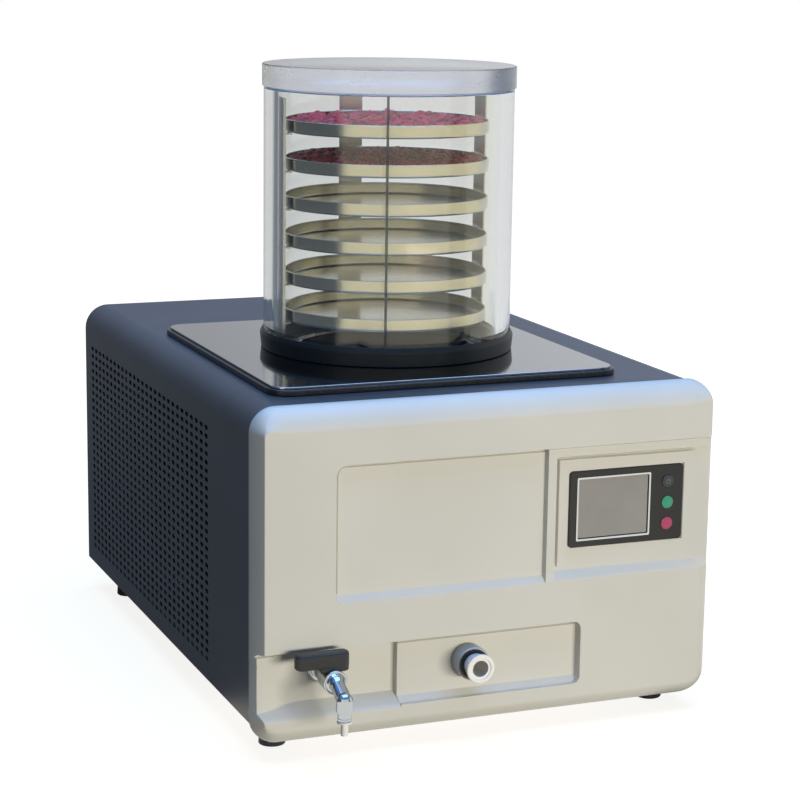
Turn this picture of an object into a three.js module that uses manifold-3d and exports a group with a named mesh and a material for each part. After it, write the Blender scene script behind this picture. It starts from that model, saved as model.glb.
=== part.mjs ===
/*
 * Benchtop freeze dryer with a clear drying chamber on top.
 * Millimetres, +Z up. X runs along the front, -Y is the front, and the feet stand on Z = 0.
 * Inside this file the moulded front face lies on Y = 0; the finished group is then shifted
 * along Y so that its origin is under the middle of its box.
 */
import * as THREE from "three";
import { mergeVertices } from "three/addons/utils/BufferGeometryUtils.js";
import Module from "manifold-3d";

const wasm = await Module();
wasm.setup();

/* ------------------------------------------------------------------ driving dimensions */

const gap = 0.3; // clearance between two pieces that touch
const sheet = 1.6; // painted steel sheet

const panelWidth = 505; // moulded front panel
const panelHeight = 341;
const panelDepth = 22;
const panelWall = 3;
const panelLift = 16.5; // lower edge of the front panel above the bench
const panelSideRound = 13;
const panelTopRound = 20;
const panelBottomRound = 14;
const panelCorner = 26; // seen from the front, at the top
const panelFootCorner = 21; // and at the bottom

const cabinetDepth = 676; // front face to the rear edge of the cover
const coverInset = 2; // the panel stands proud of each side of the cover by this much
const coverDrop = 1.5; // and of the top of the cover by this much
const coverBottom = 36;
const coverCorner = 28;
const rearSetback = 2.5;
const panFlange = 26;

const footDiameter = 28;
const footInsetX = 37;
const footInsetY = 59;
const footTopDiameter = 24;

const chamberX = -15; // axis of the drying chamber
const chamberY = 263;
const plateAside = 5; // the plate reaches further left than right
const plateCentreY = 264;

const plateMargin = [50.2, 57.2]; // steel plate beyond the gasket, along X and Y
const plateThickness = 2;
const plateCorner = 20;
const frameMargin = 4; // black frame beyond the steel plate
const frameHeight = 6.2;

const rackLedge = 20; // plate left round the mouth of the vessel, for the rack to stand on
const tubeWall = 15; // acrylic chamber tube
const tubeHeight = 263.5;
const gasketRim = 3.8; // gasket outside the tube
const gasketHeight = 20;
const gasketLip = 4; // height of the lip round the foot of the tube
const lidSealWidth = 7;
const lidOverhang = 1.75;
const lidThickness = 24;
const lidSealThickness = 1.4;

const trayHeight = 14;
const trayWall = 1.2;
const trayFootRound = 3;
const trayCount = 6;
const trayPitch = 40.4;
const trayTopBelowTube = 31; // rim of the top tray below the top of the tube
const loadedTrays = 2; // the two top trays carry berries
const berryHeap = 1; // the berries stand this much above the rim
const berryRimDrop = 5; // and end this much below it at the wall
const uprightWidth = 28;
const uprightThickness = 2;
const uprightGap = 3; // between a tray and an upright
const rackGap = 4.5; // between an upright and the tube, with the rack in the middle
const rackAside = 2.5; // the rack stands this far off the axis, towards -X
const uprightBelowTube = 8; // top of an upright below the top of the tube
const tabReach = 7;
const tabWidth = 14;
const tabThickness = 1.6;
const rackRingWidth = 12;

const vesselInner = 200; // cold vessel that catches the ice
const vesselWall = 2;
const vesselDepth = 170;
const coverMouthGap = 2; // between the vessel and the edge of the hole in the cover
const vesselFlangeWidth = 17;
const coilTube = 8;
const coilTurns = 4; // and half a turn more
const coilPitch = 28;
const coilClearance = 1.3; // from the vessel; the facets of the winding take most of it
const coilSlack = 0.7; // from the insulation
const coilFacets = 24; // straight pieces in one turn
const coilRise = 14; // first turn above the bottom of the vessel
const coilTail = 157; // straight tube from the winding to the rear of the insulation
const insulationWall = 24;
const insulationBase = 24;
const drainSpigot = 12;
const suctionSpigot = 16;
const suctionForward = 60; // suction spigot, forward of the drain in the middle
const spigotWall = 1.5;
const spigotEnd = 14; // a spigot stands this far out of the insulation

// Recesses in the front, from the bench. Corners are left bottom, right bottom, right top, left top.
const plainRecess = { bottom: 164, top: 298.5, depth: 4, ledge: 14, corners: [12, 0, 0, 12] };
const sideRecess = { bottom: 158, top: 298.5, depth: 2, ledge: 8, corners: [0, 0, 0, 0] };
const controlRecess = { bottom: 158, top: 289, depth: 9, ledge: 22, corners: [8, 0, 0, 8] };
const portRecess = { bottom: 46, top: 113, depth: 10, ledge: 13, corners: [0, 8, 8, 0] };
const drainRecess = { bottom: 46, top: 113, depth: 18, ledge: 13, corners: [0, 0, 0, 0] };
const plainFromSide = 83; // left end of the plain recess, from the left side of the panel
const ribFromSide = 193; // rib between the two upper recesses, from the right side
const ribWidth = 10;
const dividerFromSide = 154; // step in the lower recess, from the left side
const portEndFromSide = 354; // right end of the lower recess, from the left side
const runOut = 17.5; // a recess that runs out through a side ends this far outside it

const bezelSize = [131, 80.5]; // control unit in the right-hand recess
const bezelFromSide = 99.5; // centre of the control unit from the right side
const bezelHeight = 230.8;
const bezelThickness = 3;
const bezelCorner = 2;
const bezelBoxDepth = 16; // box behind the bezel, through the panel
const bezelBoxMargin = 6;
const bezelBoxWall = 2;
const bezelBoxFront = 6; // solid thickness behind the screen and the buttons
const screenSize = [82, 64];
const screenShift = -15; // centre of the screen from the centre of the control unit
const screenThickness = 2;
const buttonDiameter = 13.5;
const buttonPitch = 22.5;
const buttonShift = 47;
const buttonProud = 1.6;
const buttonSink = 2.4; // length of a button inside its hole
const buttonTravel = 1;

const portFromSide = 230; // vacuum connection, from the left side
const portZ = 83;
const portReach = 26; // in front of the panel face
const portFlangeDiameter = 30;
const portBore = 17;
const portFlangeLength = 15;
const portSealDiameter = 31;
const portSealLength = 3;
const portCollarDiameter = 35;
const portTubeDiameter = 24;
const portTail = 26; // behind the recess floor

const valveFromSide = 73; // drain tap, from the left side
const valveZ = 80;
const stemY = -18;
const rosetteDiameter = 27;
const rosetteThickness = 5;
const valveBodyDiameter = 18;
const ballHousingDiameter = 25;
const ballHousingLength = 24;
const ballDiameter = 14;
const waterway = 8;
const valveTail = 26; // behind the recess floor
const stemDiameter = 7;
const stemInHandle = 10;
const handleLong = 38.5; // from the stem to the long end, towards -X
const handleShort = 17;
const handleWidth = 16;
const handleHeight = 15.5;
const handleBoss = [14, 4]; // thicker end over the stem: reach towards -X, and drop
const handleCorner = 6;
const handleHubDiameter = 12.5;
const handleHubHeight = 8.5;
const spoutY = -54;
const elbowRise = 9; // centre of the elbow above the axis of the body
const elbowReach = 11; // lower end of the elbow below its centre
const elbowDiameter = 17;
const neckDiameter = 15;
const spoutDiameter = 14;
const spoutDrop = 22.5; // lower end of the spout below the axis of the body
const nozzleFlange = 15;
const nozzleFlangeThickness = 2;
const nozzleDiameter = 7.4;
const nozzleLength = 13;
const nozzlePlug = 8; // length inside the spout
const nozzleBore = 4.6;

const lineRoom = 31; // between the end of the coil and the compressor
const compressorFromSide = 138.6; // axis of the compressor from the right wall of the cabinet
const compressorDiameter = 158;
const compressorHeight = 196;
const compressorBracket = 4;
const compressorFootprint = 150;
const compressorMat = 8; // rubber under the compressor
const compressorDome = 42; // height of the rounded end
const stubDiameter = 9.5;
const stubHeight = 14; // above the top of the shell
const suctionStub = [-35, -34]; // from the axis of the compressor
const dischargeStub = [-35, 34];
const exchangerSize = [36, 200, 220]; // core of the air-cooled heat exchanger
const exchangerFromSide = 16.6; // from the left wall of the cabinet
const exchangerForward = 100; // front end of the core, forward of the compressor's axis
const endPlate = 6;
const finThickness = 1.6;
const finCount = 9;
const tubeRows = 3;
const shroudDepth = 22;
const shroudStep = 8; // from the shroud to the face of the motor
const fanDiameter = 150;
const fanHub = 44;
const bladeCount = 5;
const bladeThickness = 2;
const bladeChord = 46;
const bladePitch = 16; // degrees
const fanClearance = 4;
const rotorMargin = 3.5; // between the rotor and either end of the shroud
const motorDiameter = 56;
const motorLength = 40;
const shaftDiameter = 8;
const shaftInMotor = 20;
const strutWidth = 12;
const lineTube = 9.5;
const liquidTube = 6;
const capillaryTube = 4;
const hoseDiameter = 20;
const drainHoseDiameter = 14;
const lineArch = 318; // height of the refrigerant lines over the machinery
const drierDiameter = 25;
const drierLength = 84;
const drierBottom = 206;
const drierSetback = 24; // behind the end of the coil

const boxLength = 180; // electrical box, between the insulation and the right wall
const boxHeight = 190;
const boxFront = 60;
const boxClearance = 12;
const boardSize = [132, 84];
const boardThickness = 1.6;
const boardStandoff = 5;
const standoffDiameter = 6;
const standoffInset = 8;

const inletSize = [48, 28]; // mains inlet and rocker switch at the rear
const inletFromSide = 78.6; // from the right wall of the cabinet
const inletHeight = 80;
const inletDepth = 26;
const socketSize = [24, 16.5];
const socketDepth = 19;
const contactSize = [4, 2];
const contactLength = 13;
const contactPitch = 7;
const switchSize = [22, 30];
const switchFromSide = 43.6;
const switchHeight = 130;
const switchDepth = 22;
const rockerSize = [14, 22];
const rockerThickness = 8;
const rockerWell = 14;
const rockerPivot = 2; // inside the face of the rear panel
const rockerEndGap = 1;
const rockerTilt = 7; // degrees either side of level
const rearFlange = 2;
const flangeMargin = 3;

const round = 36; // facets of the large round pieces
const roundSmall = 16;
const roundTray = 24;

/* ------------------------------------------------------------------ sizes worked out */

const panelTop = panelLift + panelHeight;
const coverTop = panelTop - coverDrop;
const coverWidth = panelWidth - 2 * coverInset;
const coverFront = panelDepth + gap;
const innerWidth = coverWidth - 2 * (sheet + gap);
const panFloorTop = coverBottom + sheet;
const rearY = cabinetDepth - rearSetback; // outer face of the rear panel
const frontFrameY = coverFront + gap;
const vesselOuter = vesselInner + 2 * vesselWall;
const vesselFlange = vesselOuter + 2 * vesselFlangeWidth;
const tubeInner = vesselInner + 2 * rackLedge;
const tubeOuter = tubeInner + 2 * tubeWall;
const gasketOuter = tubeOuter + 2 * gasketRim;
const lidDiameter = tubeOuter + 2 * lidOverhang;
const plateSize = plateMargin.map((margin) => gasketOuter + 2 * margin);
const frameSize = plateSize.map((size) => size + 2 * frameMargin);
const frameCorner = plateCorner + frameMargin;
const frameBase = coverTop + gap;
const plateBase = frameBase + frameHeight + gap;
const plateTop = plateBase + plateThickness;
const gasketTop = plateTop + gap + gasketHeight;
const tubeBase = gasketTop - gasketLip + gap;
const tubeTop = tubeBase + tubeHeight;
const lidBase = tubeTop + lidSealThickness + 2 * gap;
const topTrayBase = tubeTop - trayTopBelowTube - trayHeight;
const uprightOuter = tubeInner / 2 - rackGap;
const uprightInner = uprightOuter - uprightThickness;
const trayDiameter = 2 * (uprightInner - uprightGap);
const rackRingTop = plateTop + gap + uprightThickness;
const rackCentre = [chamberX - rackAside, chamberY];
const uprightTop = tubeTop - uprightBelowTube;
const vesselTop = frameBase + frameHeight;
const vesselBottom = vesselTop - vesselDepth;
const coilRadius = vesselOuter / 2 + coilClearance + coilTube / 2;
const coilBottom = vesselBottom + coilRise;
const coilTop = coilBottom + coilPitch * (coilTurns + 0.5);
const insulationInner = coilRadius + coilTube / 2 + coilSlack;
const insulationOuter = insulationInner + insulationWall;
const insulationTop = coverTop - sheet - gap;
const insulationBottom = vesselBottom - gap - insulationBase;
const drainPlace = [chamberX, chamberY];
const suctionPlace = [chamberX, chamberY - suctionForward];
const panelSide = panelWidth / 2;
const ribX = panelSide - ribFromSide;
const dividerX = dividerFromSide - panelSide;
const outerX = panelSide + runOut;
const recesses = [
  { ...plainRecess, left: plainFromSide - panelSide, right: ribX },
  { ...sideRecess, left: ribX, right: outerX },
  { ...controlRecess, left: ribX + ribWidth, right: outerX },
  { ...portRecess, left: dividerX, right: portEndFromSide - panelSide },
  { ...drainRecess, left: -outerX, right: dividerX },
];
const bezelCentre = [panelSide - bezelFromSide, bezelHeight];
const screenCentre = [bezelCentre[0] + screenShift, bezelHeight];
const buttonX = bezelCentre[0] + buttonShift;
const portX = portFromSide - panelSide;
const valveX = valveFromSide - panelSide;
const bezelFront = controlRecess.depth - gap - bezelThickness;
const buttonZ = [1, 0, -1].map((step) => bezelCentre[1] + step * buttonPitch);
const portFloor = portRecess.depth;
const portBack = portFloor + portTail;
const valveBack = drainRecess.depth + valveTail;
const hubBase = valveZ + ballHousingDiameter / 2 + gap;
const handleBase = hubBase + handleHubHeight;
const stemTop = hubBase + stemInHandle;
const elbowZ = valveZ + elbowRise;
const elbowBottom = elbowZ - elbowReach;
const spoutBottom = valveZ - spoutDrop;
const compressorCentre = [
  innerWidth / 2 - compressorFromSide,
  chamberY + coilTail + lineRoom + compressorDiameter / 2,
];
const exchangerX = exchangerFromSide - innerWidth / 2;
const exchangerY = compressorCentre[1] - exchangerForward;
const exchangerZ = panFloorTop + gap;
const fanY = exchangerY + exchangerSize[1] / 2;
const fanZ = exchangerZ + exchangerSize[2] / 2;
const shroudX = exchangerX + exchangerSize[0] + gap;
const shroudEnd = shroudX + shroudDepth;
const motorX = shroudEnd + shroudStep;
const matBase = panFloorTop + gap;
const compressorBase = matBase + compressorMat + gap;
const compressorTop = compressorBase + compressorHeight;
const boxX = chamberX + insulationOuter + boxClearance;
const boxWidth = innerWidth / 2 - boxClearance - boxX;
const inletCentre = [innerWidth / 2 - inletFromSide, inletHeight];
const switchCentre = [innerWidth / 2 - switchFromSide, switchHeight];
const drierX = chamberX - coilRadius;
const drierY = chamberY + coilTail + drierSetback;

/* ------------------------------------------------------------------ materials */

function finish(color, roughness, metalness = 0, opacity = 1) {
  const clear = opacity < 1;
  return new THREE.MeshStandardMaterial({ color, roughness, metalness, opacity, transparent: clear });
}

const coverPaint = finish("#474c54", 0.38);
const panelPlastic = finish("#c9c4b6", 0.45);
const blackPlastic = finish("#17191b", 0.45);
const blackRubber = finish("#101214", 0.7);
const greyPlastic = finish("#8f9295", 0.5);
const whitePlastic = finish("#ece9e2", 0.45);
const stainless = finish("#c3c6c9", 0.22, 1);
const chromePlate = finish("#dfe3e8", 0.08, 1);
const zincSheet = finish("#a3a8ac", 0.45, 1);
const copperTube = finish("#b36b45", 0.3, 1);
const compressorPaint = finish("#1c1d1f", 0.4);
const aluminiumFin = finish("#b9bcc0", 0.35, 1);
const clearAcrylic = finish("#e9eef0", 0.05, 0, 0.35);
const clearSeal = finish("#c9cdd0", 0.4, 0, 0.7);
const screenGlass = finish("#8f8d86", 0.15);
const greenPlastic = finish("#3f9a76", 0.4);
const redPlastic = finish("#a8355a", 0.4);
const berrySkin = finish("#7d1424", 0.4);
const foam = finish("#2b2d2f", 0.9);
const boardGreen = finish("#1f5a3c", 0.5);

/* ------------------------------------------------------------------ shape helpers */

const model = new THREE.Group();
model.name = "freeze_dryer";

function add(name, geometry, material) {
  const mesh = new THREE.Mesh(geometry, material);
  mesh.name = name;
  model.add(mesh);
  return mesh;
}

function solidOf(geometry) {
  const bare = geometry.clone();
  bare.deleteAttribute("normal");
  bare.deleteAttribute("uv");
  const merged = mergeVertices(bare, 1e-4);
  const vertProperties = new Float32Array(merged.attributes.position.array);
  const triVerts = new Uint32Array(merged.index.array);
  return new wasm.Manifold(new wasm.Mesh({ numProp: 3, vertProperties, triVerts }));
}

function geometryOf(solid) {
  const mesh = solid.getMesh();
  const geometry = new THREE.BufferGeometry();
  geometry.setAttribute("position", new THREE.BufferAttribute(mesh.vertProperties, 3));
  geometry.setIndex(new THREE.BufferAttribute(mesh.triVerts, 1));
  geometry.computeVertexNormals();
  return geometry;
}

function join(first, ...others) {
  return geometryOf(others.reduce((sum, part) => sum.add(solidOf(part)), solidOf(first)));
}

function cut(body, ...tools) {
  return geometryOf(tools.reduce((left, tool) => left.subtract(solidOf(tool)), solidOf(body)));
}

function common(first, ...others) {
  return geometryOf(others.reduce((sum, part) => sum.intersect(solidOf(part)), solidOf(first)));
}

/** Box between two corners. */
function block(from, to) {
  const size = to.map((value, axis) => value - from[axis]);
  const geometry = new THREE.BoxGeometry(...size);
  return geometry.translate(...from.map((value, axis) => value + size[axis] / 2));
}

/** Cylinder along an axis, between two places on it. */
function rod(axis, centre, diameter, from, to, endDiameter = diameter, sides = roundSmall) {
  const geometry = new THREE.CylinderGeometry(endDiameter / 2, diameter / 2, to - from, sides);
  geometry.translate(0, (from + to) / 2, 0);
  if (axis === "x") {
    return geometry.rotateZ(-Math.PI / 2).translate(0, centre[0], centre[1]);
  }
  if (axis === "y") {
    return geometry.translate(centre[0], 0, centre[1]);
  }
  return geometry.rotateX(Math.PI / 2).translate(centre[0], centre[1], 0);
}

/** Large plain disc or hole round the axis of the chamber. */
function bored(diameter, from, to) {
  return rod("z", [chamberX, chamberY], diameter, from, to, diameter, round);
}

/** Ring or other turned shape round a vertical axis, from a closed profile of [radius, z]. */
function turned(profile, centre, sides = round) {
  const points = [...profile, profile[0]].map(([radius, z]) => new THREE.Vector2(radius, z));
  const geometry = new THREE.LatheGeometry(points, sides);
  return geometry.rotateX(Math.PI / 2).translate(centre[0], centre[1], 0);
}

/** Turned shape whose profile starts and ends on the axis. */
function turnedSolid(profile, centre, sides = round) {
  const points = profile.map(([radius, z]) => new THREE.Vector2(radius, z));
  const geometry = new THREE.LatheGeometry(points, sides);
  return geometry.rotateX(Math.PI / 2).translate(centre[0], centre[1], 0);
}

/** Rectangle with its own radius at each corner: left bottom, right bottom, right top, left top. */
function cornered(left, bottom, right, top, radii) {
  const [a, b, c, d] = radii;
  const shape = new THREE.Shape();
  shape.moveTo(left + a, bottom);
  shape.lineTo(right - b, bottom);
  if (b > 0) shape.absarc(right - b, bottom + b, b, -Math.PI / 2, 0, false);
  shape.lineTo(right, top - c);
  if (c > 0) shape.absarc(right - c, top - c, c, 0, Math.PI / 2, false);
  shape.lineTo(left + d, top);
  if (d > 0) shape.absarc(left + d, top - d, d, Math.PI / 2, Math.PI, false);
  shape.lineTo(left, bottom + a);
  if (a > 0) shape.absarc(left + a, bottom + a, a, Math.PI, 1.5 * Math.PI, false);
  return shape;
}

function rounded(centre, size, radius) {
  const [halfX, halfY] = size.map((value) => value / 2);
  const radii = [radius, radius, radius, radius];
  return cornered(centre[0] - halfX, centre[1] - halfY, centre[0] + halfX, centre[1] + halfY, radii);
}

function polygon(points) {
  return new THREE.Shape(points.map(([x, y]) => new THREE.Vector2(x, y)));
}

function extruded(shape, length) {
  return new THREE.ExtrudeGeometry(shape, { depth: length, bevelEnabled: false, curveSegments: 4 });
}

/** Outline in X and Z, standing from one Y to another. */
function alongY(shape, from, to) {
  return extruded(shape, to - from).rotateX(Math.PI / 2).translate(0, to, 0);
}

/** Outline in Y and Z, running from one X to another. */
function alongX(shape, from, to) {
  const turn = new THREE.Matrix4().makeBasis(
    new THREE.Vector3(0, 1, 0),
    new THREE.Vector3(0, 0, 1),
    new THREE.Vector3(1, 0, 0),
  );
  return extruded(shape, to - from).applyMatrix4(turn).translate(from, 0, 0);
}

/** Outline in X and Y, standing from one Z to another. */
function alongZ(shape, from, to) {
  return extruded(shape, to - from).translate(0, 0, from);
}

/** Round tube or hose along a smooth path. */
function pipe(points, diameter, steps, sides = 8) {
  const curve = new THREE.CatmullRomCurve3(points.map((point) => new THREE.Vector3(...point)));
  return pipeOn(curve, diameter, steps, sides);
}

function pipeOn(curve, diameter, steps, sides) {
  const ring = new THREE.Shape();
  for (let side = 0; side < sides; side += 1) {
    const turn = (2 * Math.PI * side) / sides;
    const point = [(diameter / 2) * Math.cos(turn), (diameter / 2) * Math.sin(turn)];
    if (side === 0) ring.moveTo(...point);
    else ring.lineTo(...point);
  }
  return new THREE.ExtrudeGeometry(ring, { steps, extrudePath: curve, bevelEnabled: false });
}

/* ------------------------------------------------------------------ cabinet */

/** Outline of the wrapped cover in X and Z: outer skin, then inner skin back again. */
function coverOutline(halfWidth, top, corner, wall) {
  const shape = new THREE.Shape();
  const inner = corner - wall;
  shape.moveTo(-halfWidth, coverBottom);
  shape.lineTo(-halfWidth + wall, coverBottom);
  shape.lineTo(-halfWidth + wall, top - corner);
  shape.absarc(-halfWidth + corner, top - corner, inner, Math.PI, Math.PI / 2, true);
  shape.lineTo(halfWidth - corner, top - wall);
  shape.absarc(halfWidth - corner, top - corner, inner, Math.PI / 2, 0, true);
  shape.lineTo(halfWidth - wall, coverBottom);
  shape.lineTo(halfWidth, coverBottom);
  shape.lineTo(halfWidth, top - corner);
  shape.absarc(halfWidth - corner, top - corner, corner, 0, Math.PI / 2, false);
  shape.lineTo(-halfWidth + corner, top);
  shape.absarc(-halfWidth + corner, top - corner, corner, Math.PI / 2, Math.PI, false);
  return shape;
}

function cabinetCover() {
  const outline = coverOutline(coverWidth / 2, coverTop, coverCorner, sheet);
  const shell = alongY(outline, coverFront, cabinetDepth);
  const mouthDiameter = vesselOuter + 2 * coverMouthGap;
  const mouth = bored(mouthDiameter, coverTop - 2 * sheet, coverTop + sheet);
  add("cabinet_cover", cut(shell, mouth), coverPaint);
}

function basePan() {
  const half = innerWidth / 2;
  const front = frontFrameY;
  const back = rearY - sheet - gap;
  const outer = block([-half, front, coverBottom], [half, back, coverBottom + panFlange]);
  const hollow = block(
    [-half + sheet, front + sheet, panFloorTop],
    [half - sheet, back - sheet, coverBottom + 2 * panFlange],
  );
  add("base_pan", cut(outer, hollow), zincSheet);
}

function rearPanel() {
  const half = innerWidth / 2;
  const top = coverTop - sheet - gap;
  const corner = coverCorner - sheet - gap;
  const outline = cornered(-half, coverBottom, half, top, [0, 0, corner, corner]);
  const fittings = [[inletCentre, inletSize], [switchCentre, switchSize]];
  const holes = fittings.map(([centre, size]) => {
    const [halfX, halfZ] = size.map((value) => value / 2 + gap);
    return block(
      [centre[0] - halfX, rearY - 2 * sheet, centre[1] - halfZ],
      [centre[0] + halfX, rearY + sheet, centre[1] + halfZ],
    );
  });
  add("rear_panel", cut(alongY(outline, rearY - sheet, rearY), ...holes), coverPaint);
}

function feet() {
  const places = {
    front_left: [-panelWidth / 2 + footInsetX, footInsetY],
    front_right: [panelWidth / 2 - footInsetX, footInsetY],
    rear_left: [-panelWidth / 2 + footInsetX, cabinetDepth - footInsetY],
    rear_right: [panelWidth / 2 - footInsetX, cabinetDepth - footInsetY],
  };
  for (const [corner, centre] of Object.entries(places)) {
    const foot = rod("z", centre, footDiameter, 0, coverBottom - gap, footTopDiameter);
    add(`foot_${corner}`, foot, blackRubber);
  }
}

/* ------------------------------------------------------------------ moulded front */

/** Side profile of the front: rounded edge at the top and at the bottom, in Y and Z. */
function frontProfile(depth, bottom, top, bottomRound, topRound) {
  const shape = new THREE.Shape();
  shape.moveTo(depth, bottom);
  shape.lineTo(depth, top);
  shape.lineTo(topRound, top);
  shape.absarc(topRound, top - topRound, topRound, Math.PI / 2, Math.PI, false);
  shape.lineTo(0, bottom + bottomRound);
  shape.absarc(bottomRound, bottom + bottomRound, bottomRound, Math.PI, 1.5 * Math.PI, false);
  return shape;
}

/** Plan of the front: rounded edge at each side, in X and Y. */
function frontPlan(half, depth, round) {
  const shape = new THREE.Shape();
  shape.moveTo(half, depth);
  shape.lineTo(-half, depth);
  shape.lineTo(-half, round);
  shape.absarc(-half + round, round, round, Math.PI, 1.5 * Math.PI, false);
  shape.lineTo(half - round, 0);
  shape.absarc(half - round, round, round, 1.5 * Math.PI, 2 * Math.PI, false);
  return shape;
}

function frontBlock(inset) {
  const half = panelWidth / 2 - inset;
  const bottom = panelLift + inset;
  const top = panelTop - inset;
  const corner = panelCorner - inset;
  const footCorner = panelFootCorner - inset;
  const outline = cornered(-half, bottom, half, top, [footCorner, footCorner, corner, corner]);
  const rounds = [panelBottomRound - inset, panelTopRound - inset];
  const profile = frontProfile(panelDepth, bottom, top, ...rounds);
  return common(
    alongY(outline, -1, panelDepth + 1),
    alongX(profile.clone(), -half - 1, half + 1),
    alongZ(frontPlan(half, panelDepth, panelSideRound - inset), bottom - 1, top + 1),
  );
}

/** Volume of a recess: flat floor, and a rounded ledge that rises from its lower lip. */
function recessVolume(recess, deeper = 0) {
  const { left, right, bottom, top, depth, ledge } = recess;
  const floor = depth + deeper;
  const grown = deeper > 0 ? panelWall : 0;
  const shape = new THREE.Shape();
  shape.moveTo(-panelDepth, bottom - grown);
  shape.lineTo(0, bottom - grown);
  shape.quadraticCurveTo(floor, bottom - grown, floor, bottom - grown + ledge);
  shape.lineTo(floor, top + grown);
  shape.lineTo(-panelDepth, top + grown);
  return alongX(shape, left - grown, right + grown);
}

/** The recess volume with its front corners rounded. */
function recessCut(recess) {
  const { left, right, bottom, top, corners } = recess;
  const outline = cornered(left, bottom, right, top, corners);
  return common(recessVolume(recess), alongY(outline, -panelDepth, panelDepth + panelWall));
}

function panelHoles() {
  const boxHalf = bezelSize.map((value) => value / 2 - bezelBoxMargin + gap);
  return [
    block(
      [bezelCentre[0] - boxHalf[0], 0, bezelCentre[1] - boxHalf[1]],
      [bezelCentre[0] + boxHalf[0], panelDepth + panelWall, bezelCentre[1] + boxHalf[1]],
    ),
    rod("y", [portX, portZ], portTubeDiameter + 2 * gap, 0, 2 * panelDepth),
    rod("y", [valveX, valveZ], valveBodyDiameter + 2 * gap, 0, 2 * panelDepth),
  ];
}

function frontPanel() {
  const skin = cut(frontBlock(0), frontBlock(panelWall).translate(0, panelWall, 0));
  const backing = recesses.map((recess) => common(recessVolume(recess, panelWall), frontBlock(0)));
  const cuts = recesses.map(recessCut);
  add("front_panel", cut(join(skin, ...backing), ...cuts, ...panelHoles()), panelPlastic);
}

/* ------------------------------------------------------------------ plate, chamber and lid */

function chamberSeat() {
  const centre = [chamberX - plateAside, plateCentreY];
  const frameHole = bored(vesselFlange + 2 * gap, 0, 2 * plateTop);
  const frame = alongZ(rounded(centre, frameSize, frameCorner), frameBase, frameBase + frameHeight);
  add("plate_frame", cut(frame, frameHole), blackPlastic);

  const plateHole = bored(vesselInner, 0, 2 * plateTop);
  const plate = alongZ(rounded(centre, plateSize, plateCorner), plateBase, plateTop);
  add("top_plate", cut(plate, plateHole), stainless);
}

function chamber() {
  const centre = [chamberX, chamberY];
  const outer = gasketOuter / 2;
  const tubeRadius = tubeOuter / 2;
  const inner = tubeInner / 2;
  const seat = gasketTop - gasketLip;
  const gasket = [
    [inner, plateTop + gap],
    [outer, plateTop + gap],
    [outer, gasketTop],
    [tubeRadius + gap, gasketTop],
    [tubeRadius + gap, seat],
    [inner, seat],
  ];
  add("chamber_gasket", turned(gasket, centre), blackRubber);

  const tube = [
    [inner, tubeBase],
    [tubeRadius, tubeBase],
    [tubeRadius, tubeTop],
    [inner, tubeTop],
  ];
  add("chamber_tube", turned(tube, centre), clearAcrylic);

  const sealMiddle = (tubeRadius + inner) / 2;
  const seal = [
    [sealMiddle - lidSealWidth / 2, tubeTop + gap],
    [sealMiddle + lidSealWidth / 2, tubeTop + gap],
    [sealMiddle + lidSealWidth / 2, tubeTop + gap + lidSealThickness],
    [sealMiddle - lidSealWidth / 2, tubeTop + gap + lidSealThickness],
  ];
  add("lid_seal", turned(seal, centre), clearSeal);

  add("chamber_lid", bored(lidDiameter, lidBase, lidBase + lidThickness), clearAcrylic);
}

/* ------------------------------------------------------------------ rack, trays and berries */

const trayBases = Array.from({ length: trayCount }, (_, place) => topTrayBase - place * trayPitch);

function rackRing() {
  const ring = [
    [uprightOuter - rackRingWidth, plateTop + gap],
    [uprightOuter, plateTop + gap],
    [uprightOuter, rackRingTop],
    [uprightOuter - rackRingWidth, rackRingTop],
  ];
  add("rack_ring", turned(ring, rackCentre), stainless);
}

/** Flat bar with a tab under each tray, standing at one side of the rack. */
function rackUpright(name, turn) {
  const half = uprightWidth / 2;
  const bar = block([uprightInner, -half, rackRingTop + gap], [uprightOuter, half, uprightTop]);
  const tabs = trayBases.map((base) => {
    const from = [uprightInner - tabReach, -tabWidth / 2, base - gap - tabThickness];
    const to = [uprightInner + uprightThickness / 2, tabWidth / 2, base - gap];
    return block(from, to);
  });
  const upright = add(name, join(bar, ...tabs), stainless);
  upright.position.set(...rackCentre, 0);
  upright.rotation.z = turn;
}

function trays() {
  const radius = trayDiameter / 2;
  trayBases.forEach((base, place) => {
    const cup = [
      [0, base],
      [radius - trayFootRound, base],
      [radius, base + trayFootRound],
      [radius, base + trayHeight],
      [radius - trayWall, base + trayHeight],
      [radius - trayWall, base + trayFootRound + trayWall / 2],
      [radius - trayFootRound - trayWall / 2, base + trayWall],
      [0, base + trayWall],
    ];
    add(`tray_${place + 1}`, turnedSolid(cup, rackCentre, roundTray), stainless);
  });
}

/** Berries on the two top trays, as one plain heap on each. */
function berries() {
  const radius = trayDiameter / 2 - trayWall - 2 * gap;
  trayBases.slice(0, loadedTrays).forEach((base, place) => {
    const bottom = base + trayWall + gap;
    const rim = base + trayHeight;
    const heap = [
      [0, bottom],
      [radius - trayFootRound, bottom],
      [radius, bottom + trayFootRound],
      [radius, rim - berryRimDrop],
      [radius - berryHeap - berryRimDrop, rim + berryHeap],
      [0, rim + berryHeap],
    ];
    add(`tray_${place + 1}_load`, turnedSolid(heap, rackCentre, roundTray), berrySkin);
  });
}

/* ------------------------------------------------------------------ cold vessel */

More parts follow.
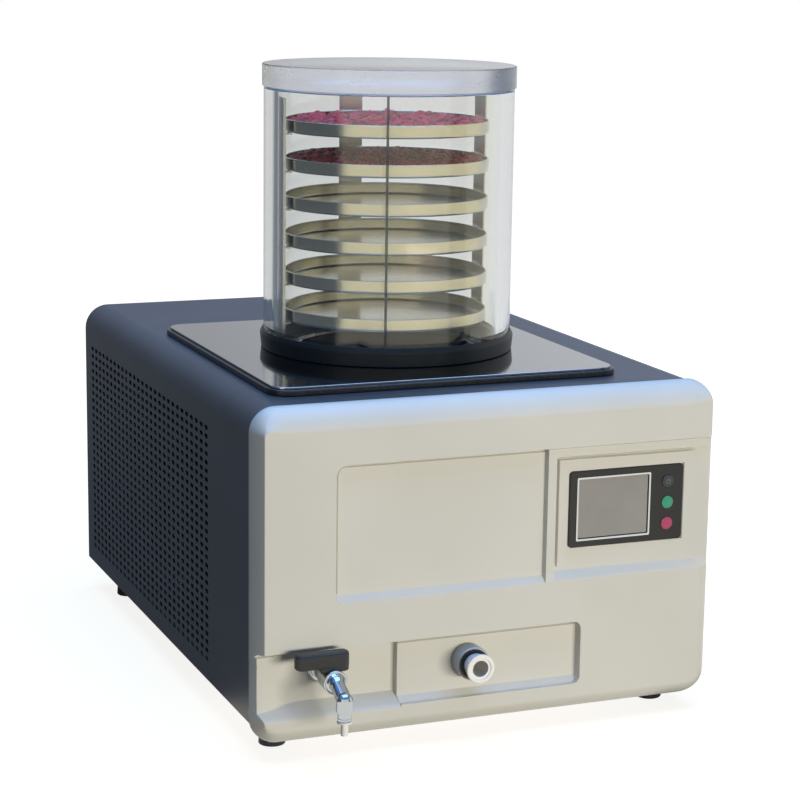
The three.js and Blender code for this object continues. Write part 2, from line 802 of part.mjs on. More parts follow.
/** Wall with its flange, and the bottom with the drain and suction spigots. */
function coldVessel() {
  const inner = vesselInner / 2;
  const outer = vesselOuter / 2;
  const flange = vesselFlange / 2;
  const floor = vesselBottom + vesselWall;
  const wall = [
    [inner, floor + gap],
    [outer, floor + gap],
    [outer, frameBase],
    [flange, frameBase],
    [flange, vesselTop],
    [inner, vesselTop],
  ];
  add("cold_vessel", turned(wall, [chamberX, chamberY]), stainless);

  const end = insulationBottom - spigotEnd;
  const spigots = [[drainPlace, drainSpigot], [suctionPlace, suctionSpigot]];
  const tubes = spigots.map(([place, diameter]) => (
    rod("z", place, diameter, end, floor - vesselWall / 2)
  ));
  const bores = spigots.map(([place, diameter]) => (
    rod("z", place, diameter - 2 * spigotWall, end - 1, floor + vesselWall)
  ));
  const bottom = join(bored(vesselOuter, vesselBottom, floor), ...tubes);
  add("vessel_bottom", cut(bottom, ...bores), stainless);
}

/** Winding round the vessel, with a straight tail towards the rear at each end. */
class Winding extends THREE.Curve {
  constructor() {
    super();
    this.turns = coilTurns + 0.5;
    this.wound = this.turns * 2 * Math.PI * coilRadius;
    this.length = this.wound + 2 * coilTail;
  }

  getPoint(share, target = new THREE.Vector3()) {
    const along = share * this.length;
    if (along < coilTail) {
      return target.set(chamberX + coilRadius, chamberY + coilTail - along, coilBottom);
    }
    if (along > coilTail + this.wound) {
      return target.set(chamberX - coilRadius, chamberY + along - coilTail - this.wound, coilTop);
    }
    const done = (along - coilTail) / this.wound;
    const turn = -done * this.turns * 2 * Math.PI;
    const x = chamberX + coilRadius * Math.cos(turn);
    const y = chamberY + coilRadius * Math.sin(turn);
    return target.set(x, y, coilBottom + done * (coilTop - coilBottom));
  }
}

function evaporatorCoil() {
  const path = new Winding();
  const steps = Math.round((path.length / path.wound) * path.turns * coilFacets);
  add("evaporator_coil", pipeOn(path, coilTube, steps, 6), copperTube);
}

function insulation() {
  const cup = [
    [0, insulationBottom],
    [insulationOuter, insulationBottom],
    [insulationOuter, insulationTop],
    [insulationInner, insulationTop],
    [insulationInner, vesselBottom - gap],
    [0, vesselBottom - gap],
  ];
  const rear = chamberY + insulationOuter;
  const tailHole = coilTube + 2 * coilSlack;
  add(
    "vessel_insulation",
    cut(
      turnedSolid(cup, [chamberX, chamberY]),
      rod("z", drainPlace, drainSpigot + 2 * gap, 0, vesselBottom),
      rod("z", suctionPlace, suctionSpigot + 2 * gap, 0, vesselBottom),
      rod("y", [chamberX + coilRadius, coilBottom], tailHole, chamberY, rear),
      rod("y", [chamberX - coilRadius, coilTop], tailHole, chamberY, rear),
    ),
    foam,
  );
}

/* ------------------------------------------------------------------ refrigeration */

function stubPlace(stub) {
  return [compressorCentre[0] + stub[0], compressorCentre[1] + stub[1]];
}

function compressor() {
  const half = compressorFootprint / 2;
  const [x, y] = compressorCentre;
  const mat = block([x - half, y - half, matBase], [x + half, y + half, matBase + compressorMat]);
  add("compressor_mat", mat, blackRubber);

  const radius = compressorDiameter / 2;
  const shoulder = compressorTop - compressorDome;
  const dome = [0, 1, 2, 3].map((step) => {
    const turn = (step / 4) * (Math.PI / 2);
    return [radius * Math.cos(turn), shoulder + compressorDome * Math.sin(turn)];
  });
  const profile = [[0, compressorBase], [radius, compressorBase], ...dome, [0, compressorTop]];
  const shell = turnedSolid(profile, compressorCentre, roundTray);
  const bracket = block(
    [x - half, y - half, compressorBase],
    [x + half, y + half, compressorBase + compressorBracket],
  );
  const stubs = [suctionStub, dischargeStub].map((stub) => (
    rod("z", stubPlace(stub), stubDiameter, shoulder, compressorTop + stubHeight, stubDiameter, 12)
  ));
  add("compressor", join(shell, bracket, ...stubs), compressorPaint);
}

/** Finned block with tube rows, end plates and the tube that leads to the drier. */
function heatExchanger() {
  const [width, length, height] = exchangerSize;
  const [x, y, z] = [exchangerX, exchangerY, exchangerZ];
  const ends = [y, y + length - endPlate].map((from) => (
    block([x, from, z], [x + width, from + endPlate, z + height])
  ));
  const finPitch = (length - 2 * endPlate) / (finCount + 1);
  const fins = Array.from({ length: finCount }, (_, place) => {
    const from = y + endPlate + (place + 1) * finPitch - finThickness / 2;
    const to = from + finThickness;
    return block([x, from, z + finThickness], [x + width, to, z + height - finThickness]);
  });
  const middle = x + width / 2;
  const [firstEnd, lastEnd] = [y + endPlate / 2, y + length - endPlate / 2];
  const rows = Array.from({ length: tubeRows }, (_, place) => {
    const centre = [middle, z + ((place + 0.5) / tubeRows) * height];
    return rod("y", centre, stubDiameter, firstEnd, lastEnd, stubDiameter, 6);
  });
  const top = z + height;
  const inlet = rod("z", [middle, lastEnd], endPlate, top - endPlate, top + stubHeight);
  const outletZ = z + height / (2 * tubeRows);
  const outlet = pipe(
    [
      [middle, firstEnd, outletZ],
      [middle, y - drierSetback, outletZ],
      [middle + drierSetback, y - drierSetback - 4, outletZ + 10],
      [drierX, drierY, drierBottom - 2 * drierSetback],
      [drierX, drierY, drierBottom - gap],
    ],
    liquidTube,
    18,
    6,
  );
  add("heat_exchanger", join(...ends, ...fins, ...rows, inlet, outlet), aluminiumFin);
}

function fan() {
  const [, length, height] = exchangerSize;
  const centre = [fanY, fanZ];
  const frame = block(
    [shroudX, exchangerY, exchangerZ],
    [shroudEnd, exchangerY + length, exchangerZ + height],
  );
  const ringDiameter = fanDiameter + 2 * fanClearance;
  const ringHole = rod("x", centre, ringDiameter, shroudX - 1, shroudEnd + 1, undefined, roundTray);
  const strutEnd = motorX - gap;
  const upright = block(
    [shroudEnd, fanY - strutWidth / 2, exchangerZ],
    [strutEnd, fanY + strutWidth / 2, exchangerZ + height],
  );
  const across = block(
    [shroudEnd, exchangerY, fanZ - strutWidth / 2],
    [strutEnd, exchangerY + length, fanZ + strutWidth / 2],
  );
  const shaftHole = rod("x", centre, shaftDiameter + 2 * gap, shroudX, motorX + 1);
  add("fan_shroud", cut(join(cut(frame, ringHole), upright, across), shaftHole), blackPlastic);

  const motor = rod("x", centre, motorDiameter, motorX, motorX + motorLength);
  const motorBore = rod("x", centre, shaftDiameter + 2 * gap, motorX - 1, motorX + shaftInMotor + gap);
  add("fan_motor", cut(motor, motorBore), zincSheet);

  const rotorStart = shroudX + rotorMargin;
  const rotorEnd = shroudEnd - rotorMargin;
  const hub = rod("x", [0, 0], fanHub, rotorStart, rotorEnd);
  const shaft = rod("x", [0, 0], shaftDiameter, rotorEnd - 1, motorX + shaftInMotor);
  const sweep = rod("x", [0, 0], fanDiameter, rotorStart, rotorEnd, undefined, roundTray);
  const middle = (rotorStart + rotorEnd) / 2;
  const blades = Array.from({ length: bladeCount }, (_, place) => {
    const blade = new THREE.BoxGeometry(bladeThickness, bladeChord, fanDiameter / 2);
    blade.rotateZ(THREE.MathUtils.degToRad(90 - bladePitch) - Math.PI / 2);
    blade.translate(middle, 0, fanDiameter / 4 + fanHub / 4);
    return blade.rotateX((place * 2 * Math.PI) / bladeCount);
  });
  const rotor = add("fan_rotor", join(hub, shaft, common(join(hub, ...blades), sweep)), blackPlastic);
  rotor.position.set(0, fanY, fanZ);
}

function refrigerantLines() {
  const centre = [drierX, drierY];
  const drier = rod("z", centre, drierDiameter, drierBottom, drierBottom + drierLength);
  add("filter_drier", drier, copperTube);

  const stubTop = compressorTop + stubHeight + gap;
  const [suctionX, suctionY] = stubPlace(suctionStub);
  const coilEnd = chamberY + coilTail + gap;
  const suction = [
    [chamberX + coilRadius, coilEnd, coilBottom],
    [chamberX + coilRadius, coilEnd + 10, coilBottom],
    [chamberX + coilRadius, coilEnd + 16, coilBottom + 50],
    [suctionX + 6, suctionY - 20, stubTop + 38],
    [suctionX, suctionY, stubTop + 20],
    [suctionX, suctionY, stubTop],
  ];
  add("suction_line", pipe(suction, lineTube, 16), copperTube);

  const [dischargeX, dischargeY] = stubPlace(dischargeStub);
  const inletX = exchangerX + exchangerSize[0] / 2;
  const inletY = exchangerY + exchangerSize[1] - endPlate / 2;
  const inletTop = exchangerZ + exchangerSize[2] + stubHeight + gap;
  const discharge = [
    [dischargeX, dischargeY, stubTop],
    [dischargeX, dischargeY, stubTop + 24],
    [dischargeX - 60, dischargeY + 20, lineArch],
    [inletX + 90, inletY - 10, lineArch],
    [inletX, inletY, inletTop + 24],
    [inletX, inletY, inletTop],
  ];
  add("discharge_line", pipe(discharge, lineTube, 20), copperTube);

  const drierTop = drierBottom + drierLength + gap;
  const capillary = [
    [drierX, drierY, drierTop],
    [drierX, drierY, drierTop + 18],
    [drierX, drierY - 6, coilTop - 4],
    [drierX, coilEnd + 8, coilTop],
    [drierX, coilEnd, coilTop],
  ];
  add("capillary_line", pipe(capillary, capillaryTube, 12, 6), copperTube);
}

function hoses() {
  const top = insulationBottom - spigotEnd - gap;
  const [suctionX, suctionY] = suctionPlace;
  const vacuum = [
    [suctionX, suctionY, top],
    [suctionX, suctionY, top - 24],
    [(suctionX + portX) / 2, suctionY - 32, portZ + 10],
    [portX, portBack + 26, portZ],
    [portX, portBack + gap, portZ],
  ];
  add("vacuum_hose", pipe(vacuum, hoseDiameter, 18), blackRubber);

  const drain = [
    [...drainPlace, top],
    [...drainPlace, top - 24],
    [valveX + 30, valveBack + 90, valveZ + 4],
    [valveX, valveBack + 24, valveZ],
    [valveX, valveBack + gap, valveZ],
  ];
  add("drain_hose", pipe(drain, drainHoseDiameter, 20), whitePlastic);
}

/* ------------------------------------------------------------------ electrics */

function electrics() {
  const [x, y, z] = [boxX, boxFront, panFloorTop + gap];
  const [width, length, height] = [boxWidth, boxLength, boxHeight];
  const shell = block([x, y, z], [x + width, y + length, z + height]);
  const inside = block(
    [x + sheet, y + sheet, z + sheet],
    [x + width + 1, y + length - sheet, z + height - sheet],
  );
  const middleY = y + length / 2;
  const middleZ = z + height / 2;
  const pegY = [-1, 1].map((side) => middleY + side * (boardSize[0] / 2 - standoffInset));
  const pegZ = [-1, 1].map((side) => middleZ + side * (boardSize[1] / 2 - standoffInset));
  const [pegStart, pegEnd] = [x + sheet / 2, x + sheet + boardStandoff];
  const pegs = pegY.flatMap((pegAtY) => pegZ.map((pegAtZ) => (
    rod("x", [pegAtY, pegAtZ], standoffDiameter, pegStart, pegEnd, undefined, 12)
  )));
  add("electrical_box", join(cut(shell, inside), ...pegs), zincSheet);

  const boardX = x + sheet + boardStandoff + gap;
  const board = block(
    [boardX, middleY - boardSize[0] / 2, middleZ - boardSize[1] / 2],
    [boardX + boardThickness, middleY + boardSize[0] / 2, middleZ + boardSize[1] / 2],
  );
  add("control_board", board, boardGreen);
}

/** Plate and body of a fitting that is pushed into the rear panel. */
function rearFitting(centre, size, depth) {
  const [halfX, halfZ] = size.map((value) => value / 2);
  const margin = flangeMargin;
  const plate = block(
    [centre[0] - halfX - margin, rearY + gap, centre[1] - halfZ - margin],
    [centre[0] + halfX + margin, rearY + gap + rearFlange, centre[1] + halfZ + margin],
  );
  const body = block(
    [centre[0] - halfX, rearY - depth, centre[1] - halfZ],
    [centre[0] + halfX, rearY + gap + rearFlange / 2, centre[1] + halfZ],
  );
  return join(plate, body);
}

function powerInlet() {
  const face = rearY + gap + rearFlange;
  const [x, z] = inletCentre;
  const [halfX, halfZ] = socketSize.map((value) => value / 2);
  const socket = block([x - halfX, face - socketDepth, z - halfZ], [x + halfX, face + 1, z + halfZ]);
  const contacts = [-1, 0, 1].map((side) => {
    const middle = x + side * contactPitch;
    return block(
      [middle - contactSize[1] / 2, face - socketDepth - 1, z - contactSize[0] / 2],
      [middle + contactSize[1] / 2, face - socketDepth + contactLength, z + contactSize[0] / 2],
    );
  });
  const housing = cut(rearFitting(inletCentre, inletSize, inletDepth), socket);
  add("power_inlet", join(housing, ...contacts), blackPlastic);
}

function mainsSwitch() {
  const face = rearY + gap + rearFlange;
  const [x, z] = switchCentre;
  const halfX = rockerSize[0] / 2;
  const halfZ = rockerSize[1] / 2;
  const well = block(
    [x - halfX - gap, face - rockerWell, z - halfZ - rockerEndGap],
    [x + halfX + gap, face + 1, z + halfZ + rockerEndGap],
  );
  const housing = rearFitting(switchCentre, switchSize, switchDepth);
  add("switch_body", cut(housing, well), blackPlastic);

  const rise = halfZ * Math.tan(THREE.MathUtils.degToRad(rockerTilt));
  const front = rearFlange + gap + rockerPivot;
  const profile = polygon([
    [front - rockerThickness, -halfZ / 2],
    [front - rise, -halfZ + gap],
    [front + rise, -halfZ + gap],
    [front, 0],
    [front + rise, halfZ - gap],
    [front - rise, halfZ - gap],
    [front - rockerThickness, halfZ / 2],
  ]);
  const rocker = add("rocker", alongX(profile, -halfX, halfX), blackPlastic);
  rocker.position.set(x, rearY - rockerPivot, z);
  rocker.rotation.x = THREE.MathUtils.degToRad(rockerTilt);
}

/* ------------------------------------------------------------------ control unit */

function controlUnit() {
  const [x, z] = bezelCentre;
  const boxHalf = bezelSize.map((value) => value / 2 - bezelBoxMargin);
  const back = bezelFront + bezelThickness;
  const plate = alongY(rounded(bezelCentre, bezelSize, bezelCorner), bezelFront, back);
  const box = block(
    [x - boxHalf[0], back - 1, z - boxHalf[1]],
    [x + boxHalf[0], back + bezelBoxDepth, z + boxHalf[1]],
  );
  const hollow = block(
    [x - boxHalf[0] + bezelBoxWall, bezelFront + bezelBoxFront, z - boxHalf[1] + bezelBoxWall],
    [x + boxHalf[0] - bezelBoxWall, back + bezelBoxDepth + 1, z + boxHalf[1] - bezelBoxWall],
  );
  const [screenX, screenZ] = screenCentre;
  const [halfX, halfZ] = screenSize.map((value) => value / 2);
  const pocket = block(
    [screenX - halfX - gap, bezelFront - 1, screenZ - halfZ - gap],
    [screenX + halfX + gap, bezelFront + screenThickness + gap, screenZ + halfZ + gap],
  );
  const wellBottom = bezelFront + buttonSink + buttonTravel + gap;
  const wells = buttonZ.map((height) => (
    rod("y", [buttonX, height], buttonDiameter + 2 * gap, bezelFront - 1, wellBottom)
  ));
  add("control_bezel", cut(join(plate, box), hollow, pocket, ...wells), blackPlastic);

  const screen = block(
    [screenX - halfX, bezelFront, screenZ - halfZ],
    [screenX + halfX, bezelFront + screenThickness, screenZ + halfZ],
  );
  add("display_screen", screen, screenGlass);

  const names = ["power_button", "start_button", "stop_button"];
  const colours = [blackPlastic, greenPlastic, redPlastic];
  buttonZ.forEach((height, place) => {
    const [face, base] = [bezelFront - buttonProud, bezelFront + buttonSink];
    const cap = rod("y", [buttonX, height], buttonDiameter, face, base);
    add(names[place], cap, colours[place]);
  });
}

/* ------------------------------------------------------------------ vacuum connection */

function vacuumPort() {
  const centre = [portX, portZ];
  const tip = -portReach;
  const flangeBack = tip + portFlangeLength;
  const flange = rod("y", centre, portFlangeDiameter, tip, flangeBack, undefined, roundTray);
  const tube = rod("y", centre, portTubeDiameter, flangeBack - 1, portBack);
  const bore = rod("y", centre, portBore, tip - 1, portBack + 1);
  add("port_nozzle", cut(join(flange, tube), bore), whitePlastic);

  const through = rod("y", centre, portTubeDiameter + 2 * gap, tip, portBack);
  const sealFront = flangeBack + gap;
  const sealBack = sealFront + portSealLength;
  const seal = rod("y", centre, portSealDiameter, sealFront, sealBack, undefined, roundTray);
  add("port_seal", cut(seal, through), blackRubber);

  const [front, back] = [sealBack + gap, portFloor - gap];
  const collar = rod("y", centre, portCollarDiameter, front, back, undefined, roundTray);
  add("port_collar", cut(collar, through), greyPlastic);
}

/* ------------------------------------------------------------------ drain tap */

/** Ball on the axis of the tap. */
function ballAt(diameter, y, z = valveZ) {
  const rings = roundSmall / 2;
  return new THREE.SphereGeometry(diameter / 2, roundSmall, rings).translate(valveX, y, z);
}

function tapBody() {
  const axis = [valveX, valveZ];
  const rosetteBack = drainRecess.depth - gap;
  const rosette = rod("y", axis, rosetteDiameter, rosetteBack - rosetteThickness, rosetteBack);
  const body = rod("y", axis, valveBodyDiameter, stemY, valveBack);
  const [front, back] = [-1, 1].map((side) => stemY + (side * ballHousingLength) / 2);
  const housing = rod("y", axis, ballHousingDiameter, front, back, undefined, roundTray);
  const rising = [
    [valveX, stemY, valveZ],
    [valveX, spoutY, elbowZ],
  ];
  const neck = pipe(rising, neckDiameter, 1, roundSmall);
  const elbow = ballAt(elbowDiameter, spoutY, elbowZ);
  const down = [valveX, spoutY];
  const socket = rod("z", down, elbowDiameter, elbowBottom, elbowZ);
  const cavity = ballAt(ballDiameter + 2 * gap, stemY);
  const wayIn = rod("y", axis, waterway, stemY, valveBack + 1);
  const wayOut = pipe(rising, waterway, 1, roundSmall);
  const wayDown = rod("z", down, waterway, elbowZ - elbowDiameter, elbowZ);
  const stemHole = rod("z", [valveX, stemY], stemDiameter + 2 * gap, valveZ, hubBase);
  const solid = join(rosette, body, housing, neck, elbow, socket);
  add("valve_body", cut(solid, cavity, wayIn, wayOut, wayDown, stemHole), chromePlate);
}

function tapMoving() {
  const ball = ballAt(ballDiameter, stemY);
  const stem = rod("z", [valveX, stemY], stemDiameter, valveZ, stemTop - gap);
  const way = rod("x", [stemY, valveZ], waterway, valveX - ballDiameter, valveX + ballDiameter);
  add("valve_ball", cut(join(ball, stem), way), chromePlate);

  const outline = cornered(
    valveX - handleLong,
    stemY - handleWidth / 2,
    valveX + handleShort,
    stemY + handleWidth / 2,
    [handleCorner, handleCorner, handleCorner, handleCorner],
  );
  const bar = alongZ(outline, handleBase, handleBase + handleHeight);
  const [bossReach, bossDrop] = handleBoss;
  const bossOutline = cornered(
    valveX - bossReach,
    stemY - handleWidth / 2,
    valveX + handleShort,
    stemY + handleWidth / 2,
    [handleCorner, handleCorner, handleCorner, handleCorner],
  );
  const boss = alongZ(bossOutline, handleBase - bossDrop, handleBase + 1);
  const hub = rod("z", [valveX, stemY], handleHubDiameter, hubBase, handleBase + 1);
  const socket = rod("z", [valveX, stemY], stemDiameter + 2 * gap, valveZ, stemTop);
  add("valve_handle", cut(join(bar, boss, hub), socket), blackPlastic);
}

function tapSpout() {
  const axis = [valveX, spoutY];
  const tube = rod("z", axis, spoutDiameter, spoutBottom, elbowBottom - gap);
  const bore = rod("z", axis, waterway, 0, elbowZ);
  add("spout", cut(tube, bore), chromePlate);

  const flangeTop = spoutBottom - gap;
  const flangeBase = flangeTop - nozzleFlangeThickness;
  const flange = rod("z", axis, nozzleFlange, flangeBase, flangeTop);
  const end = rod("z", axis, nozzleDiameter, flangeBase - nozzleLength, spoutBottom + nozzlePlug);
  const hole = rod("z", axis, nozzleBore, 0, elbowZ);
  add("spout_nozzle", cut(join(flange, end), hole), whitePlastic);
}

/* ------------------------------------------------------------------ assembly */

basePan();
cabinetCover();
rearPanel();
frontPanel();
feet();
chamberSeat();
chamber();
rackRing();
rackUpright("rack_upright_right", 0);
rackUpright("rack_upright_back", Math.PI / 2);
rackUpright("rack_upright_left", Math.PI);
trays();
berries();
coldVessel();
evaporatorCoil();
insulation();
compressor();
heatExchanger();
fan();
refrigerantLines();
hoses();
electrics();
powerInlet();
mainsSwitch();
controlUnit();
vacuumPort();
tapBody();
tapMoving();
tapSpout();

const box = new THREE.Box3().setFromObject(model);
model.position.y = -(box.min.y + box.max.y) / 2;

export default model;
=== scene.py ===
import math

import bmesh
import bpy
import numpy as np
from mathutils import Matrix, Vector


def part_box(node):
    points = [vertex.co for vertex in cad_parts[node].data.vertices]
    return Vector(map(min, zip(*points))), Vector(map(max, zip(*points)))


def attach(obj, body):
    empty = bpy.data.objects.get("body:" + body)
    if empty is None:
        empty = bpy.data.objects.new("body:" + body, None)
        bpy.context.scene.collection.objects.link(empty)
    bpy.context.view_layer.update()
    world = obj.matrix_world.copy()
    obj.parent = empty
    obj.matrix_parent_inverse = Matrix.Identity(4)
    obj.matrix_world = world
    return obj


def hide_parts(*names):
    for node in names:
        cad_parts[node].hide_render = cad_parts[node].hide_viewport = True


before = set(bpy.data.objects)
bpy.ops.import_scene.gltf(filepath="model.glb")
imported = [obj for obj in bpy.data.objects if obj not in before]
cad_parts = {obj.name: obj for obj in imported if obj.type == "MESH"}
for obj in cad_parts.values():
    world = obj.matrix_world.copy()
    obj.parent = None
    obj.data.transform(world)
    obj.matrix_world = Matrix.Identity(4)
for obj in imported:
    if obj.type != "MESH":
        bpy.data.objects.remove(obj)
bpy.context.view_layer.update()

# Looks of a benchtop freeze dryer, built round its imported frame. +Z is up and -Y is the front.
# Sizes are in millimetres here, and in metres in the meshes.
MM = 0.001
CABINET = "cabinet"


# ---------------------------------------------------------------- places read from the frame


def edges_of(node_name):
    """Lowest and highest corner of a CAD node, in millimetres."""
    low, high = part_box(node_name)
    return [value / MM for value in low], [value / MM for value in high]


def ends(node_name, axis=2):
    """Where a CAD node starts and ends on an axis, in millimetres."""
    low, high = edges_of(node_name)
    return low[axis], high[axis]


def middle(node_name, axes=(0, 2)):
    """Centre of a CAD node on some axes, in millimetres."""
    low, high = edges_of(node_name)
    return tuple((low[k] + high[k]) / 2 for k in axes)


panel_low, panel_high = edges_of("front_panel")
FACE = panel_low[1]
CENTRE = AXIS_X, AXIS_Y = middle("chamber_tube", (0, 1))


# ---------------------------------------------------------------- camera


CAMERA_PLACE = (-0.8986, FACE * MM - 1.96134, 0.7949)
CAMERA_AZIMUTH = -22.05
CAMERA_ELEVATION = 11.617
CAMERA_ROLL = 0.80
CAMERA_LENS = 99.4
SENSOR_WIDTH = 36


def make_camera():
    azimuth, elevation, roll = (math.radians(a) for a in (CAMERA_AZIMUTH, CAMERA_ELEVATION, CAMERA_ROLL))
    across = Vector((math.cos(azimuth), math.sin(azimuth), 0))
    back = Vector((
        math.sin(azimuth) * math.cos(elevation),
        -math.cos(azimuth) * math.cos(elevation),
        math.sin(elevation),
    ))
    up = back.cross(across)
    right = math.cos(roll) * across + math.sin(roll) * up
    up = back.cross(right)
    data = bpy.data.cameras.new("camera")
    data.lens = CAMERA_LENS
    data.sensor_width = SENSOR_WIDTH
    data.clip_start = 0.05
    data.clip_end = 60
    camera = bpy.data.objects.new("camera", data)
    camera.matrix_world = Matrix.Translation(CAMERA_PLACE) @ Matrix((right, up, back)).transposed().to_4x4()
    bpy.context.scene.collection.objects.link(camera)
    bpy.context.scene.camera = camera


make_camera()


# ---------------------------------------------------------------- colour and nodes


def colour(code):
    """Linear RGBA of an sRGB hex code."""
    parts = [int(code[i:i + 2], 16) / 255 for i in (1, 3, 5)]
    linear = [p / 12.92 if p <= 0.04045 else ((p + 0.055) / 1.055) ** 2.4 for p in parts]
    return (*linear, 1.0)


def node(tree, kind, inputs=None, **settings):
    """A new node with its settings. An input is a value, or a socket to link from."""
    made = tree.nodes.new(kind)
    for name, value in settings.items():
        setattr(made, name, value)
    for key, value in (inputs or {}).items():
        if isinstance(value, bpy.types.NodeSocket):
            tree.links.new(value, made.inputs[key])
        else:
            made.inputs[key].default_value = value
    return made


def material(name, base, roughness, metallic=0.0, **sockets):
    """A material with its Principled shader, and the tree to add to."""
    made = bpy.data.materials.new(name)
    made.use_nodes = True
    tree = made.node_tree
    shader = tree.nodes["Principled BSDF"]
    shader.inputs["Base Color"].default_value = colour(base)
    shader.inputs["Roughness"].default_value = roughness
    shader.inputs["Metallic"].default_value = metallic
    for key, value in sockets.items():
        shader.inputs[key.replace("_", " ")].default_value = value
    made.diffuse_color = colour(base)
    return made, tree, shader


def maths(tree, operation, *values):
    """Several values joined by one operation."""
    total = values[0]
    for value in values[1:]:
        total = node(tree, "ShaderNodeMath", {0: total, 1: value}, operation=operation).outputs[0]
    return total


def socket_of(sockets, kind, name=None):
    """The first socket of a kind that is in use, where some of one name are for other kinds."""
    return [s for s in sockets if s.type == kind and s.enabled and name in (None, s.name)][0]


def grain(tree, size, detail=3.0, stretch=(1, 1, 1), distortion=0.0):
    """Noise on Object coordinates, with grains of a size in millimetres."""
    place = node(tree, "ShaderNodeTexCoord").outputs["Object"]
    scaled = node(tree, "ShaderNodeMapping", {"Vector": place, "Scale": stretch}).outputs["Vector"]
    inputs = {"Vector": scaled, "Scale": 1 / (size * MM), "Detail": detail, "Distortion": distortion}
    return node(tree, "ShaderNodeTexNoise", inputs).outputs["Fac"]


def span(tree, value, low, high, start=0.0, end=1.0):
    """A value spread from one range to another."""
    inputs = {"Value": value, "From Min": start, "From Max": end, "To Min": low, "To Max": high}
    return node(tree, "ShaderNodeMapRange", inputs).outputs["Result"]


def tint(tree, share, first, second):
    """Mix of two colours."""
    made = node(tree, "ShaderNodeMix", data_type="RGBA")
    for name, code in (("A", first), ("B", second)):
        socket_of(made.inputs, "RGBA", name).default_value = colour(code)
    tree.links.new(share, socket_of(made.inputs, "VALUE"))
    return socket_of(made.outputs, "RGBA")


# ---------------------------------------------------------------- finishes


MILD = (0.35, 0.65)
CLEAR = (0.3, 0.7)


def finished(name, base, roughness, metallic=0.0, tones=None, marks=None, relief=None, **sockets):
    """A material whose colour, gloss and relief each follow a grain.

    A grain is its size, detail, stretch and distortion. tones are two colours, the grain that mixes them and
    the range of it that does so. marks are the same for roughness. relief is a depth and its grain.
    """
    made, tree, shader = material(name, base, roughness, metallic, **sockets)
    if tones:
        first, second, size, *ends = tones
        share = span(tree, grain(tree, *size), 0, 1, *(ends[0] if ends else ()))
        tree.links.new(tint(tree, share, first, second), shader.inputs["Base Color"])
    if marks:
        low, high, size, *ends = marks
        value = span(tree, grain(tree, *size), low, high, *(ends[0] if ends else ()))
        tree.links.new(value, shader.inputs["Roughness"])
    if relief:
        depth, size = relief
        inputs = {"Height": grain(tree, *size), "Distance": depth * MM}
        tree.links.new(node(tree, "ShaderNodeBump", inputs).outputs["Normal"], shader.inputs["Normal"])
    return made


def moulded_rubber(name, base="#17191B", roughness=0.55, light="#222527", gloss=0.35):
    """Nitrile rubber, moulded and trimmed: nearly black, with a dull bloom."""
    return finished(name, base, roughness, tones=(base, light, (14, 4), CLEAR), relief=(0.03, (1.6, 3)),
                    Specular_IOR_Level=gloss)


def black_nylon(name, base="#1B1D1F", roughness=0.38):
    """Glass-filled nylon, moulded: black with a faint mottle where the glass lies near the skin."""
    mottle = (2.4, 4)
    return finished(name, base, roughness, tones=(base, "#24272A", mottle, CLEAR),
                    marks=(roughness - 0.07, roughness + 0.07, mottle), relief=(0.015, mottle))


def satin_steel(name, base, roughness):
    """Spun or sheared stainless, satin, with faint marks round the tool's path."""
    lines = (30, 3, (1, 1, 40))
    return finished(name, base, roughness, 1.0, marks=(roughness - 0.06, roughness + 0.08, lines),
                    relief=(0.006, lines))


def acetal_turning(name, base):
    """Turned acetal: waxy, with the lathe's fine rings."""
    rings = (4, 2, (1, 12, 1))
    return finished(name, base, 0.34, marks=(0.28, 0.4, rings), relief=(0.01, rings),
                    Subsurface_Weight=0.08, Subsurface_Scale=2 * MM)


def coloured_cap(name, base, light):
    """Polycarbonate push button, coloured through, with a soft sheen."""
    return finished(name, base, 0.3, tones=(base, light, (4, 2)), relief=(0.01, (0.8, 2)),
                    Coat_Weight=0.3, Coat_Roughness=0.15)


def plain_moulding(name, base, light, roughness):
    """Small moulding in coloured plastic, with a faint spark-eroded grain."""
    return finished(name, base, roughness, tones=(base, light, (12, 3)), relief=(0.012, (0.8, 2)))


def galvanised_sheet(size=9):
    """Hot-dipped zinc on steel: dull grey crystals, 6 to 12 mm across."""
    made, tree, shader = material("galvanised_sheet", "#A0A5A9", 0.42, 1.0)
    place = node(tree, "ShaderNodeTexCoord").outputs["Object"]
    crystals = node(tree, "ShaderNodeTexVoronoi", {"Vector": place, "Scale": 1 / (size * MM)})
    share = node(tree, "ShaderNodeSeparateColor", {"Color": crystals.outputs["Color"]}).outputs["Red"]
    tree.links.new(tint(tree, share, "#93999D", "#B0B5B8"), shader.inputs["Base Color"])
    tree.links.new(span(tree, share, 0.34, 0.5), shader.inputs["Roughness"])
    return made


def clear_acrylic(name, base="#F6F8F7", roughness=0.015, marks=0.03):
    """Cast acrylic, polished, with hairline wipe marks. Lamps shine through it on to what it holds."""
    wiped = (26, 4, (1, 1, 3), 0.5)
    made = finished(name, base, roughness, marks=(roughness, roughness + marks, wiped, (0.5, 0.8)),
                    IOR=1.49, Transmission_Weight=1.0)
    tree = made.node_tree
    lit = node(tree, "ShaderNodeBsdfTransparent", {"Color": colour("#F0F2F2")}).outputs["BSDF"]
    ray = node(tree, "ShaderNodeLightPath").outputs["Is Shadow Ray"]
    shader = tree.nodes["Principled BSDF"].outputs["BSDF"]
    mix = node(tree, "ShaderNodeMixShader", {0: ray, 1: shader, 2: lit})
    tree.links.new(mix.outputs["Shader"], tree.nodes["Material Output"].inputs["Surface"])
    return made


